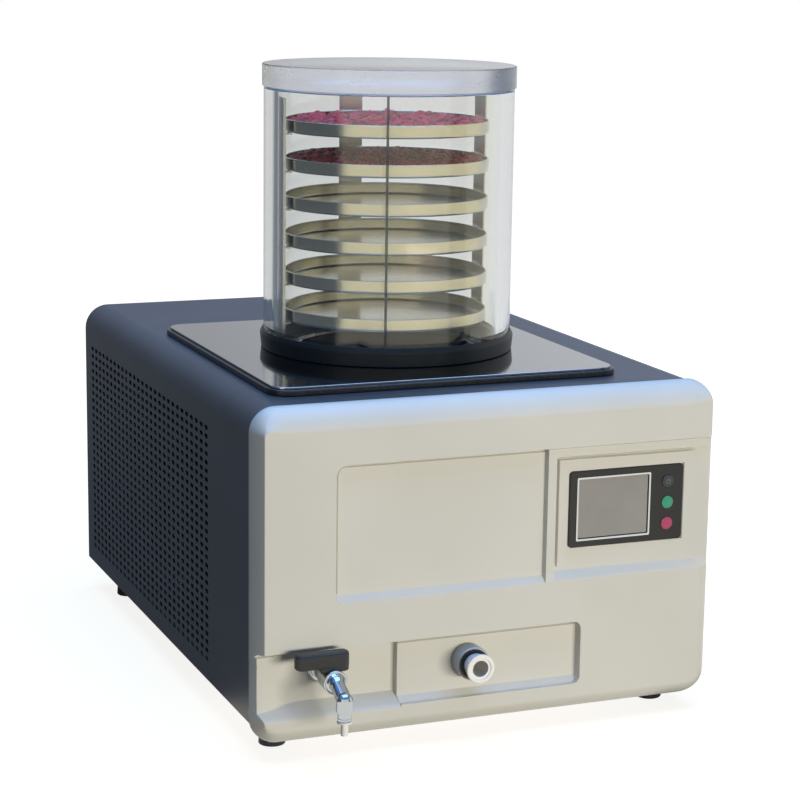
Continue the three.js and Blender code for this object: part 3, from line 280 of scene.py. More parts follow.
# Panel of injection-moulded ABS, satin, spark-eroded to a fine even grain.
abs_cream = finished("moulded_abs", "#C9C7BD", 0.34, tones=("#C7C5BA", "#CBC9BF", (120, 2), MILD),
                     marks=(0.32, 0.42, (1.1, 2)), relief=(0.012, (1.1, 2)))
# Stoved enamel on sheet steel: dark slate, satin, with a little orange peel from spraying.
enamel = finished("slate_enamel", "#3D3E40", 0.4, tones=("#3A3B3D", "#414244", (90, 2), MILD),
                  marks=(0.36, 0.46, (2.2, 1.5)), relief=(0.02, (2.2, 1.5)))
rubber = moulded_rubber("moulded_rubber")
gasket_rubber = moulded_rubber("gasket_rubber", "#0B0E0E", 0.4, "#111414", 0.25)
nylon = black_nylon("black_nylon")
slab_nylon = black_nylon("slab_nylon", "#101213", 0.3)
# Stainless sheet, buffed to a mirror, with fine wipe marks left by cleaning.
plate_steel = finished("mirror_steel", "#A9ADB2", 0.07, 1.0,
                       marks=(0.042, 0.126, (9, 4, (1, 6, 1), 0.6), CLEAR), relief=(0.02, (60, 2)))
rack_steel = satin_steel("rack_steel", "#B4B6B8", 0.2)
tray_steel = satin_steel("tray_steel", "#C2BFB4", 0.2)
frame_silver = satin_steel("frame_silver", "#C9CBCC", 0.16)
screw_steel = satin_steel("screw_steel", "#9A9EA2", 0.3)
# Brass with bright nickel and chromium: a mirror with slight waves from polishing.
chrome = finished("chromed_brass", "#B4B9BE", 0.05, 1.0, marks=(0.03, 0.09, (5, 2)), relief=(0.02, (5, 2)))
zinc = galvanised_sheet()
# Soft-drawn copper tube, browned a little by brazing and handling.
copper = finished("drawn_copper", "#B8734E", 0.3, 1.0, tones=("#8E5537", "#C68360", (18, 4), MILD),
                  marks=(0.42, 0.24, (18, 4), MILD))
acetal = acetal_turning("white_acetal", "#E9E7E1")
# Grey acetal. On the port's collar this grey is partly painted shade: it stands in for the soft shadow round
# the port as well as for the collar's own grey.
grey_acetal_and_shade = acetal_turning("grey_acetal_and_shade", "#A0A4A6")
tube_acrylic = clear_acrylic("tube_acrylic")
lid_acrylic = clear_acrylic("lid_acrylic", "#F0F2F2")
rim_acrylic = clear_acrylic("rim_acrylic", "#E2E3E6", 0.22, 0.1)
seam_cement = clear_acrylic("seam_cement", "#4A4E52", 0.3, 0.1)
seal_rubber = clear_acrylic("seal_rubber", "#D5D8DA", 0.35, 0.1)
# Resistive touch panel, off: warm grey behind a matte hard-coated film.
screen = finished("screen_film", "#84827C", 0.24, tones=("#7D7A74", "#8B8882", (40, 2)),
                  relief=(0.004, (0.5, 1)), Coat_Weight=0.5, Coat_Roughness=0.12)
green_cap = coloured_cap("green_cap", "#287E5E", "#3A9474")
red_cap = coloured_cap("red_cap", "#962C4C", "#AC4262")
black_cap = coloured_cap("black_cap", "#202325", "#2B2F31")
# Fresh berries: red skin, darker in places, with small lumps.
berry = finished("berry_skin", "#A01820", 0.4, tones=("#7E0E16", "#D8343A", (11, 3), MILD),
                 relief=(0.3, (3, 2)), Specular_IOR_Level=0.3)
# Thin aluminium fins, pressed and slightly dulled by air.
fins = finished("fin_stock", "#BFC3C6", 0.35, 1.0, marks=(0.28, 0.5, (16, 3)))
# Black stoving enamel on the pressed steel shell of the compressor, with runs and dust.
shell_enamel = finished("compressor_enamel", "#1B1D1F", 0.35,
                        tones=("#17191B", "#34363A", (30, 4), (0.4, 0.75)), relief=(0.04, (3, 2)))
black_abs = plain_moulding("black_abs", "#1D1C19", "#23221F", 0.42)
handle_nylon = plain_moulding("handle_nylon", "#181817", "#20201F", 0.42)
mark_grey = plain_moulding("mark_grey", "#6E7272", "#7A7E7E", 0.5)
# Closed-cell insulation foam, black, with fine pores.
foam = finished("closed_foam", "#26282A", 0.9, relief=(0.3, (1.4, 4)))
# Glass-epoxy circuit board under green solder resist.
board = finished("board_laminate", "#1D5A3C", 0.35, tones=("#17492F", "#226746", (6, 3)))


# ---------------------------------------------------------------- shaping


def piece_of(name, shape, finish):
    """An object from a bmesh, which is freed."""
    data = bpy.data.meshes.new(name)
    shape.to_mesh(data)
    shape.free()
    data.materials.append(finish)
    made = bpy.data.objects.new(name, data)
    bpy.context.scene.collection.objects.link(made)
    return made


def mesh_piece(name, points, faces, finish):
    """An object from points in millimetres, with its doubles merged and its faces turned outwards."""
    shape = bmesh.new()
    corners = [shape.verts.new([value * MM for value in point]) for point in points]
    for face in faces:
        try:
            shape.faces.new([corners[i] for i in face])
        except ValueError:
            continue
    bmesh.ops.remove_doubles(shape, verts=shape.verts, dist=0.001 * MM)
    bmesh.ops.dissolve_degenerate(shape, edges=shape.edges, dist=0.0005 * MM)
    bmesh.ops.recalc_face_normals(shape, faces=shape.faces)
    return piece_of(name, shape, finish)


def smooth(piece, angle=32):
    """Soft shading, with edges sharper than an angle kept, and flats kept flat."""
    piece.data.shade_smooth()
    piece.data.set_sharp_from_angle(angle=math.radians(angle))
    piece.modifiers.new("even_flats", "WEIGHTED_NORMAL").keep_sharp = True
    return piece


def fit(piece, body, nodes):
    """Puts a finished piece on its body, in place of CAD nodes."""
    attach(piece, body)
    if nodes:
        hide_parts(*nodes)


def joined(name, pieces):
    """Several pieces of one finish as one."""
    whole = bmesh.new()
    finish = pieces[0].data.materials[0]
    for piece in pieces:
        whole.from_mesh(piece.data)
        bpy.data.objects.remove(piece)
    return piece_of(name, whole, finish)


def eased(corners, closed=True, steps=5):
    """A profile whose corners (a, b, radius) are rounded."""
    points = []
    for i, (a, b, radius) in enumerate(corners):
        here = Vector((a, b))
        if radius <= 0 or (not closed and i in (0, len(corners) - 1)):
            points.append(tuple(here))
            continue
        to_last = Vector(corners[i - 1][:2]) - here
        to_next = Vector(corners[(i + 1) % len(corners)][:2]) - here
        turn = to_last.angle(to_next)
        reach = min(radius / math.tan(turn / 2), 0.49 * to_last.length, 0.49 * to_next.length)
        bend = reach * math.tan(turn / 2)
        bisector = (to_last.normalized() + to_next.normalized()).normalized()
        centre = here + bisector * (bend / math.sin(turn / 2))
        start = here + to_last.normalized() * reach - centre
        end = here + to_next.normalized() * reach - centre
        first = math.atan2(start.y, start.x)
        sweep = math.atan2(start.x * end.y - start.y * end.x, start.dot(end))
        for step in range(steps + 1):
            angle = first + sweep * step / steps
            points.append((centre.x + bend * math.cos(angle), centre.y + bend * math.sin(angle)))
    return points


def around(centre, radius, turn, height, axis="z"):
    """A point on a circle round an axis."""
    place = [centre[0] + radius * math.cos(turn), centre[1] + radius * math.sin(turn)]
    place.insert("xyz".index(axis), height)
    return tuple(place)


def border(i, j, across, up):
    """Grid places round a block of cells, from its low corner."""
    ring = [(i + k, j) for k in range(across)] + [(i + across, j + k) for k in range(up)]
    return ring + [(i + across - k, j + up) for k in range(across)] + [(i, j + up - k) for k in range(up)]


def skin_faces(solid, walled=False):
    """Faces of two like grids, one behind the other, by their solid cells. Holes can have walls."""
    columns, rows = (count + 1 for count in solid.shape)
    layer = columns * rows
    faces = []
    for i, j in np.argwhere(solid):
        a, b, c, d = i * rows + j, (i + 1) * rows + j, (i + 1) * rows + j + 1, i * rows + j + 1
        faces += [(a, b, c, d), (layer + d, layer + c, layer + b, layer + a)]
        for p, q, k, n in ((a, b, i, j - 1), (b, c, i + 1, j), (c, d, i, j + 1), (d, a, i - 1, j)):
            if walled and 0 <= k < columns - 1 and 0 <= n < rows - 1 and not solid[k, n]:
                faces.append((q, p, layer + p, layer + q))
    return faces


def lofted(name, loops, finish, wrap=False):
    """A skin through loops of equally many points. The last joins the first, or both ends are closed."""
    count = len(loops[0])
    points = [point for loop in loops for point in loop]
    faces = []
    for row in range(len(loops) if wrap else len(loops) - 1):
        a, b = row * count, (row + 1) % len(loops) * count
        faces += [(a + i, a + (i + 1) % count, b + (i + 1) % count, b + i) for i in range(count)]
    if not wrap:
        faces += [tuple(range(count)), tuple(range(len(points) - count, len(points)))]
    return mesh_piece(name, points, faces, finish)


def turned(name, profile, centre, finish, axis="z", sides=96):
    """A turned piece from a closed profile of (radius, height). A radius of 0 makes a pole."""
    turns = [2 * math.pi * i / sides for i in range(sides)]
    points = [around(centre, max(r, 0), turn, h, axis) for r, h in profile for turn in turns]
    faces = []
    for row in range(len(profile)):
        last = (row + 1) % len(profile)
        pole, last_pole = profile[row][0] <= 0, profile[last][0] <= 0
        if pole and last_pole:
            continue
        a, b = row * sides, last * sides
        for i in range(sides):
            j = (i + 1) % sides
            if pole:
                faces.append((a, b + j, b + i))
            elif last_pole:
                faces.append((a + i, a + j, b))
            else:
                faces.append((a + i, a + j, b + j, b + i))
    return mesh_piece(name, points, faces, finish)


def spun(name, corners, centre, finish, node_name, slot_name,
         body=CABINET, angle=32, closed=True, steps=5, **how):
    """A turned piece from rounded corners, shaded and fitted in place of a CAD node."""
    made = turned(name, eased(corners, closed, steps), centre, finish, **how)
    fit(smooth(made, angle), body, [node_name])


def corner_loop(low, high, inset, radius, count, height, axis="z", along=1):
    """Rectangle inside two corners as a round-cornered loop, with points along its sides too."""
    up = 1 if axis == "z" else 2
    left, right, bottom, top = low[0] + inset, high[0] - inset, low[up] + inset, high[up] - inset
    centres = ((right - radius, top - radius), (left + radius, top - radius),
               (left + radius, bottom + radius), (right - radius, bottom + radius))
    loop = []
    for k, centre in enumerate(centres):
        for i in range(count):
            loop.append(around(centre, radius, math.pi / 2 * (k + i / (count - 1)), height, axis))
        turn = math.pi / 2 * (k + 1)
        start, end = (around(c, radius, turn, height, axis) for c in (centre, centres[(k + 1) % 4]))
        for i in range(1, along):
            loop.append(tuple(s + (e - s) * (i / along) for s, e in zip(start, end)))
    return loop


# ---------------------------------------------------------------- moulded front


HALF = (panel_high[0] - panel_low[0]) / 2
LOW, HIGH = panel_low[2], panel_high[2]
MIDDLE = (LOW + HIGH) / 2
DEEP = panel_high[1] - panel_low[1]
WALL = 2.4

# Radii of the outline's corners. Then, for each outer edge: how far in its bend starts, how far it falls back,
# and how full the bend is, where 2 is a quarter round and 1 a bevel.
TOP_CORNER, FOOT_CORNER = 26, 27
LEFT_EDGE = (9.5, 21, 1.08)
TOP_EDGE = (24, 21, 1.5)
FOOT_EDGE = (16, 18, 1.6)
SIDE_ROUND, QUARTER_ROUND = 13, 2.0

# The right flank steps in between the hood and the lower lip.
HOOD_LOW, HOOD_LIP = 300, 2.4
FLANK_INSET, FLANK_ROUND, FLANK_SCOOP = 4, 5, 9
FLANK_REACH, FLANK_EASE = 130, 95

# Recesses: their left, right, low and high edges, their depths, and the heights of their lower slopes.
PLAIN, PLAIN_LOW, PLAIN_CORNER, PLAIN_DEEP, PLAIN_SLOPE = (-169.5, 59.5, 164, 298.5), 156.5, 12, 6.5, 9
SIDE_LOW, STRIP_DEEP, STRIP_SLOPE = 158, 2, 8
RIB, CONTROL_HIGH, CONTROL_DEEP, CONTROL_SLOPE = 69.5, 289, 9, 10
BEZEL_END, CONTROL_RISE, RUN_OUT = 219, 2.7, 33
LOWER, LOWER_CORNER, LOWER_LIP = (-98.5, 101.5, 46, 113), 8, 4
PORT_DEEP, PORT_SLOPE, TAP_DEEP, TAP_SLOPE = 10, 11, 18, 15
TAP_LEFT, TAP_EASE = -246, 45
FAR = 400
# A lower ledge: the share of its height and the fullness of its lip, and how far it is hollowed at its top.
LIP_SHARE, LIP_FULL, HOLLOW = 0.3, 0.48, 0.6

# Widths of the recess walls, and grooves along them: distance from the wall, half width and depth.
PLAIN_WALL, SIDE_WALL, LOWER_WALL = 1.4, 1.2, 1.6
PLAIN_TOP, PLAIN_SIDE = (2.7, 1.7, 2.8), (2.7, 1.5, 2.0)
CONTROL_TOP, CONTROL_SIDE = (3.8, 1.9, 3.6), (5.0, 2.0, 4.5)
LOWER_TOP = (3.9, 1.9, 3.4)
# How far above the lower slopes the side grooves start, where the top ones start or stop, and where one fades.
PLAIN_START, CONTROL_START, PLAIN_TURN, LOWER_STOP = 10, 16, 14, 4
FADE_FROM, FADE = 222, 10

bezel_low, bezel_high = edges_of("control_bezel")
PORT, PORT_HOLE = middle("port_collar"), 13
TAP, TAP_HOLE = (*middle("valve_body", (0,)), 80), 9.3
POCKET_MARGIN, WINDOW_MARGIN = 0.5, 6


def ease(value):
    value = np.clip(value, 0, 1)
    return value * value * (3 - 2 * value)


def ledge(z, low, reach, depth):
    """Depth over a lower ledge: a round lip, a straight slope, and a hollow at its top."""
    share = np.clip((z - low) / reach, 0, 1)
    straight = LIP_SHARE ** 2 / LIP_FULL + (share - LIP_SHARE) * 2 * LIP_SHARE / LIP_FULL
    slope = np.minimum(straight, 1 - (1 - share) ** 2 * HOLLOW)
    return depth * np.where(share < LIP_SHARE, share ** 2 / LIP_FULL, slope)


def groove(gap, shape):
    """Depth of a narrow groove, by the distance from the wall that it runs along."""
    place, width, depth = shape
    return depth * (1 - ease(np.abs(gap - place) / width))


def inside(x, z, left, right, low, high, radii):
    """How far inside a rectangle with round corners: left low, right low, right high, left high."""
    a, b, c, d = radii
    px, pz = x - (left + right) / 2, z - (low + high) / 2
    radius = np.where(px > 0, np.where(pz > 0, c, b), np.where(pz > 0, d, a))
    qx = np.abs(px) - (right - left) / 2 + radius
    qz = np.abs(pz) - (high - low) / 2 + radius
    outside = np.hypot(np.maximum(qx, 0), np.maximum(qz, 0)) + np.minimum(np.maximum(qx, qz), 0)
    return radius - outside


def plain_recess(x, z):
    """The wide bare recess, with a groove round its top and its left side."""
    left, right, low, high = PLAIN
    within = inside(x, z, left, right, PLAIN_LOW, high, (PLAIN_CORNER, 0, 0, PLAIN_CORNER))
    wall = ease(inside(x, z, left, right, low - FAR, high, (0, 0, 0, PLAIN_CORNER)) / PLAIN_WALL)
    depth = np.minimum(PLAIN_DEEP * wall * (within > 0), ledge(z, PLAIN_LOW, PLAIN_SLOPE, PLAIN_DEEP))
    beside = groove(within, PLAIN_SIDE) * (z > PLAIN_LOW + PLAIN_START)
    over = np.where(x < left + PLAIN_TURN, beside, groove(high - z, PLAIN_TOP))
    return depth + over * (within > 0) * (x < right)


def control_recess(x, z):
    """The shallow strip right of the wide recess, and the recess of the controls that runs out in it."""
    _, left, _, high = PLAIN
    wall = np.minimum(ease((x - left) / PLAIN_WALL), ease((high - z) / PLAIN_WALL))
    strip = np.minimum(STRIP_DEEP * wall, ledge(z, SIDE_LOW, STRIP_SLOPE, STRIP_DEEP))

    under_bezel = CONTROL_DEEP - CONTROL_RISE * (x - RIB) / (BEZEL_END - RIB)
    rest = CONTROL_DEEP - CONTROL_RISE - STRIP_DEEP
    past_bezel = STRIP_DEEP + rest * (1 - ease((x - BEZEL_END) / RUN_OUT))
    floor = np.where(x < BEZEL_END, under_bezel, past_bezel)
    wall = np.minimum(ease((x - RIB) / SIDE_WALL), ease((CONTROL_HIGH - z) / SIDE_WALL))
    depth = np.minimum(floor * wall, ledge(z, SIDE_LOW, CONTROL_SLOPE, floor))
    beside = groove(x - RIB, CONTROL_SIDE) * (z > SIDE_LOW + CONTROL_START) * (z < CONTROL_HIGH - SIDE_WALL)
    over = groove(CONTROL_HIGH - z, CONTROL_TOP) * (x > RIB + SIDE_WALL) * (1 - ease((x - FADE_FROM) / FADE))
    depth = np.where(wall > 0.4, depth + np.maximum(beside, over), depth)
    return np.maximum(strip, depth)


def lower_recess(x, z):
    """The port's recess, and left of it the deeper one of the drain tap."""
    left, right, low, high = LOWER
    over = groove(high - z, LOWER_TOP)
    floor = ledge(z, low - LOWER_LIP, PORT_SLOPE, PORT_DEEP)
    wall = ease(inside(x, z, -FAR, right, low, high, (0, LOWER_CORNER, LOWER_CORNER, 0)) / LOWER_WALL)
    port = np.minimum(PORT_DEEP * wall, floor) + over * (x < right - LOWER_STOP)
    top_wall = ease((high - z) / LOWER_WALL)
    wall = np.minimum(ease((left - x) / LOWER_WALL), top_wall)
    deep = PORT_DEEP + (TAP_DEEP - PORT_DEEP) * ease((x - TAP_LEFT) / TAP_EASE)
    tap = np.minimum(deep * wall, ledge(z, low - LOWER_LIP, TAP_SLOPE, TAP_DEEP))
    beside = np.minimum(PORT_DEEP * top_wall, floor)
    return np.where(x > left, port, np.maximum(beside, tap) + over * (x < left))


def over_bezel(x, z, margin):
    """Which places lie over the bezel and a margin round it."""
    across = (x > bezel_low[0] - margin) & (x < bezel_high[0] + margin)
    return across & (z > bezel_low[2] - margin) & (z < bezel_high[2] + margin)


def front_depth(x, z):
    """Depth of the moulded front behind its face, without the rounding of its edges."""
    depth = np.maximum.reduce([plain_recess(x, z), control_recess(x, z), lower_recess(x, z)])
    return np.where(over_bezel(x, z, POCKET_MARGIN), np.maximum(depth, CONTROL_DEEP), depth)


def flank_share(z):
    """How much of the right flank's step shows at a height."""
    scoop = np.sqrt(1 - (1 - np.clip((z - SIDE_LOW) / FLANK_SCOOP, 0, 1)) ** 2)
    share = np.minimum(ease((HOOD_LOW - z) / HOOD_LIP), scoop)
    return np.where((z > SIDE_LOW) & (z < HOOD_LOW), share, 0)


def to_ends(z):
    """The corner radius of the nearer end of the outline, and how far off that end is."""
    top = z > MIDDLE
    return np.where(top, TOP_CORNER, FOOT_CORNER), np.where(top, HIGH - z, z - LOW)


def edge_round(x, z, width):
    """Depth that the rounding of the outer edges gives."""
    right_round = SIDE_ROUND - (SIDE_ROUND - FLANK_ROUND) * flank_share(z)
    left = np.stack([np.full_like(x, value) for value in LEFT_EDGE])
    right = np.stack([right_round, right_round, np.full_like(x, QUARTER_ROUND)])
    side = np.where(x < 0, left, right)
    end = np.stack([np.where(z > MIDDLE, above, below) for above, below in zip(TOP_EDGE, FOOT_EDGE)])
    corner, to_end = to_ends(z)
    to_side = width - np.abs(x)
    full_side = HALF - np.abs(x)
    in_corner = (full_side < corner) & (to_end < corner)
    turn = np.arctan2(np.maximum(corner - to_end, 0), np.maximum(corner - full_side, 1e-6)) / (math.pi / 2)
    nearest = np.where(to_side < to_end, side, end)
    radius, fall, full = np.where(in_corner, side + (end - side) * ease(turn), nearest)
    reach = np.hypot(corner - full_side, corner - to_end)
    distance = np.where(in_corner, corner - reach, np.minimum(to_side, to_end))
    share = 1 - np.clip(distance, 0, radius) / radius
    return fall * (1 - np.maximum(1 - share ** full, 0) ** (1 / full))


def spread(*parts, least=0.1):
    """Sorted line places, with those closer than a least step dropped."""
    places = []
    for place in sorted(value for part in parts for value in np.atleast_1d(part)):
        if not places or place - places[-1] > least:
            places.append(float(place))
    return np.array(places)


BEND_SHARES = np.array([0, 0.01, 0.03, 0.06, 0.1, 0.16, 0.23, 0.31, 0.4, 0.5, 0.6, 0.7, 0.78, 0.85, 0.9, 0.94,
                        0.97, 1, 1.06])
WALL_SHARES = np.array([-0.5, 0, 0.07, 0.16, 0.26, 0.38, 0.5, 0.62, 0.74, 0.84, 0.93, 1, 1.3, 1.8])


def wall_lines(edge, width):
    """Lines across a moulded wall that starts at an edge and drops over a width."""
    return edge + width * WALL_SHARES


def pocket_lines(axis):
    """Lines close to both sides of the bezel's pocket."""
    low, high = bezel_low[axis], bezel_high[axis]
    return [low - 0.52, low - 0.4, high + 0.4, high + 0.52]


def front_lines():
    """Line places across and up the front: they crowd where its face bends."""
    quarter = [1 - math.cos(math.radians(a)) for a in range(0, 91, 7)]
    margins = np.array([SIDE_ROUND * q for q in quarter] + [16, 21, 27, 33])
    cross = spread(
        -HALF + LEFT_EDGE[0] * BEND_SHARES, -HALF + margins, HALF - margins, np.arange(-212, 213, 6.0),
        np.arange(-171, -155, 0.45), wall_lines(PLAIN[0], PLAIN_WALL), wall_lines(PLAIN[1], PLAIN_WALL),
        wall_lines(RIB, SIDE_WALL), np.arange(70, 78, 0.35),
        wall_lines(LOWER[0], -LOWER_WALL), wall_lines(LOWER[1], -LOWER_WALL), np.arange(90, 102, 0.8),
        np.arange(216, 246, 1.5), pocket_lines(0),
    )
    rise = spread(
        LOW + FOOT_EDGE[0] * BEND_SHARES, HIGH - TOP_EDGE[0] * BEND_SHARES,
        HIGH - np.array([26, 29]), LOW + np.array([17, 21]),
        np.arange(31, 334, 6.0), np.arange(42, 58, 0.5),
        wall_lines(LOWER[3], -LOWER_WALL), np.arange(106, 112, 0.4), np.arange(156.5, 172, 0.5),
        wall_lines(CONTROL_HIGH, -SIDE_WALL), np.arange(282, 289, 0.4),
        wall_lines(PLAIN[3], -PLAIN_WALL), np.arange(293, 298, 0.4),
        wall_lines(HOOD_LOW, -HOOD_LIP), np.arange(286, 298, 0.8), pocket_lines(2),
    )
    return cross, rise


def rear_of(depth, cross, rise):
    """Depth of the inner skin: the wall's thickness behind the deepest place near by."""
    behind = depth
    for axis, places in ((0, cross), (1, rise)):
        reach = [np.where(np.abs(places - place) <= WALL + 0.8)[0] for place in places]
        behind = np.stack([np.take(behind, near, axis=axis).max(axis=axis) for near in reach], axis=axis)
    return np.minimum(behind + WALL, DEEP - 0.3)


def front_panel():
    """The front as a sheet on crowded lines, with a second skin for its wall and a flank to the cover."""
    cross, rise = front_lines()
    x, z = np.meshgrid(cross, rise, indexing="ij")
    corner, to_end = to_ends(z)
    dip = corner - np.sqrt(np.maximum(corner ** 2 - np.maximum(corner - to_end, 0) ** 2, 0))
    inset = dip + np.where(x > 0, FLANK_INSET * flank_share(z), 0)
    x = np.sign(x) * (np.abs(x) - inset * ease((np.abs(x) - (HALF - FLANK_REACH)) / FLANK_EASE))
    depth = np.minimum(np.maximum(front_depth(x, z), edge_round(x, z, HALF - inset)), DEEP - 0.6)
    behind = rear_of(depth, cross, rise)
    narrow, lower = 1 - WALL / HALF, 1 - 2 * WALL / (HIGH - LOW)
    inner_x, inner_z = x * narrow, MIDDLE + (z - MIDDLE) * lower

    middle_x, middle_z = ((v[1:, 1:] + v[:-1, 1:] + v[1:, :-1] + v[:-1, :-1]) / 4 for v in (x, z))
    solid = ~over_bezel(middle_x, middle_z, -WINDOW_MARGIN)
    for (centre_x, centre_z), radius in ((PORT, PORT_HOLE), (TAP, TAP_HOLE)):
        solid &= np.hypot(middle_x - centre_x, middle_z - centre_z) > radius

    points = list(zip(x.flat, (FACE + depth).flat, z.flat))
    points += list(zip(inner_x.flat, (FACE + behind).flat, inner_z.flat))
    faces = skin_faces(solid, walled=True)
    columns, rows = x.shape
    layer = columns * rows
    ring = border(0, 0, columns - 1, rows - 1)
    flank = []
    for i, j in ring:
        full = HALF - dip[i, j] if i in (0, columns - 1) else abs(x[i, j])
        flank.append((math.copysign(full, x[i, j]), FACE + DEEP, z[i, j]))
    base = len(points)
    points += flank
    points += [(px * narrow, FACE + DEEP, MIDDLE + (pz - MIDDLE) * lower) for px, _, pz in flank]
    count = len(ring)
    for k, (i, j) in enumerate(ring):
        n = (k + 1) % count
        here, after = i * rows + j, ring[n][0] * rows + ring[n][1]
        faces.append((here, base + k, base + n, after))
        faces.append((base + k, base + count + k, base + count + n, base + n))
        faces.append((base + count + k, layer + here, layer + after, base + count + n))
    return smooth(mesh_piece("front_moulding", points, faces, abs_cream), 58)


fit(front_panel(), CABINET, ["front_panel"])


# ---------------------------------------------------------------- cabinet


# The field of slots in both sides: its front low corner, its pitches, and its slots each way.
FIELD_Y, FIELD_Z = FACE + 160, 54.4
PITCH_Y, PITCH_Z = 17.5, 9.2
SLOTS = 28
SLOT_LENGTH, SLOT_HEIGHT = 11, 5
SHEET, COVER_ROUND = 1.6, 28
# The grid lines at which the mouth and the field start, and the square of cells round the mouth.
MOUTH_LINE, FIELD_LINE = 2, 3
MOUTH_CELLS, MOUTH_HALF, MOUTH_RADIUS = 14, 122.5, 104
MERGE_GAP = 0.02

cover_low, cover_high = edges_of("cabinet_cover")


def node_tree(name, inputs):
    """An empty geometry tree with named inputs, after its geometry input."""
    tree = bpy.data.node_groups.new(name, "GeometryNodeTree")
    for label, kind in (("Geometry", "Geometry"), *inputs):
        tree.interface.new_socket(label, in_out="INPUT", socket_type="NodeSocket" + kind)
    tree.interface.new_socket("Geometry", in_out="OUTPUT", socket_type="NodeSocketGeometry")
    return tree, node(tree, "NodeGroupInput").outputs


def geometry(tree, kind, inputs, **settings):
    """The first result of a new geometry node."""
    return node(tree, "GeometryNode" + kind, inputs, **settings).outputs[0]


def together(tree, *parts):
    """Several geometries as one."""
    made = node(tree, "GeometryNodeJoinGeometry")
    for part in parts:
        tree.links.new(part, made.inputs[0])
    return made.outputs[0]


def finished_tree(tree, shape, finish):
    """Ends a geometry tree with its finish."""
    done = geometry(tree, "SetMaterial", {"Geometry": shape, "Material": finish})
    node(tree, "NodeGroupOutput", {"Geometry": done})
    return tree


def grown(piece, tree, values):
    """Turns a piece into the plain mesh that a geometry tree makes from it."""
    modifier = piece.modifiers.new(tree.name, "NODES")
    modifier.node_group = tree
    for item in tree.interface.items_tree:
        if item.item_type == "SOCKET" and item.in_out == "INPUT" and item.name in values:
            modifier[item.identifier] = values[item.name]
    bpy.context.view_layer.update()
    evaluated = piece.evaluated_get(bpy.context.evaluated_depsgraph_get())
    data = bpy.data.meshes.new_from_object(evaluated)
    piece.modifiers.remove(modifier)
    piece.data = data


def slot_tree():
    """A field of slots punched in sheet: one cell with a slot, repeated and joined to the plain sheet."""
    lengths = ("Slot Length", "Slot Height", "Pitch Along", "Pitch Up", "Sheet")
    tree, given = node_tree("slot_field", [
        *((label, "Float") for label in lengths), ("Count Along", "Int"), ("Count Up", "Int"),
        ("Place", "Vector"), ("Turn", "Vector"), ("Finish", "Material"),
    ])

    def flat(width, height):
        return geometry(tree, "CurvePrimitiveQuadrilateral", {"Width": given[width], "Height": given[height]})

    round_end = maths(tree, "MULTIPLY", given["Slot Height"], 0.4999)
    slot = geometry(tree, "FilletCurve", {
        "Curve": flat("Slot Length", "Slot Height"), "Radius": round_end, "Count": 2, "Limit Radius": True,
    }, mode="POLY")
    outline = together(tree, slot, flat("Pitch Along", "Pitch Up"))
    skin = geometry(tree, "FillCurve", {"Curve": outline}, mode="TRIANGLES")
    down = node(tree, "ShaderNodeCombineXYZ", {"Z": maths(tree, "MULTIPLY", given["Sheet"], -1.0)}).outputs[0]
    inner = geometry(tree, "Transform", {"Geometry": skin, "Translation": down})
    inner = geometry(tree, "FlipFaces", {"Mesh": inner})
    edge = geometry(tree, "CurveToMesh", {"Curve": slot})
    wall = geometry(tree, "ExtrudeMesh", {"Mesh": edge, "Offset": down, "Offset Scale": 1.0}, mode="EDGES")
    ways = {}
    for axis, way in (("X", "Along"), ("Y", "Up")):
        count = given["Count " + way]
        steps = maths(tree, "SUBTRACT", count, 1.0)
        ways["Vertices " + axis] = count
        ways["Size " + axis] = maths(tree, "MULTIPLY", given["Pitch " + way], steps)
    grid = geometry(tree, "MeshGrid", ways)
    cell = together(tree, skin, inner, wall)
    copies = geometry(tree, "InstanceOnPoints", {"Points": grid, "Instance": cell})
    real = geometry(tree, "RealizeInstances", {"Geometry": copies})
    place = {"Translation": given["Place"], "Rotation": given["Turn"]}
    placed = geometry(tree, "Transform", {"Geometry": real, **place})
    whole = together(tree, placed, given["Geometry"])
    merged = geometry(tree, "MergeByDistance", {"Geometry": whole, "Distance": MERGE_GAP * MM})
    return finished_tree(tree, merged, given["Finish"])


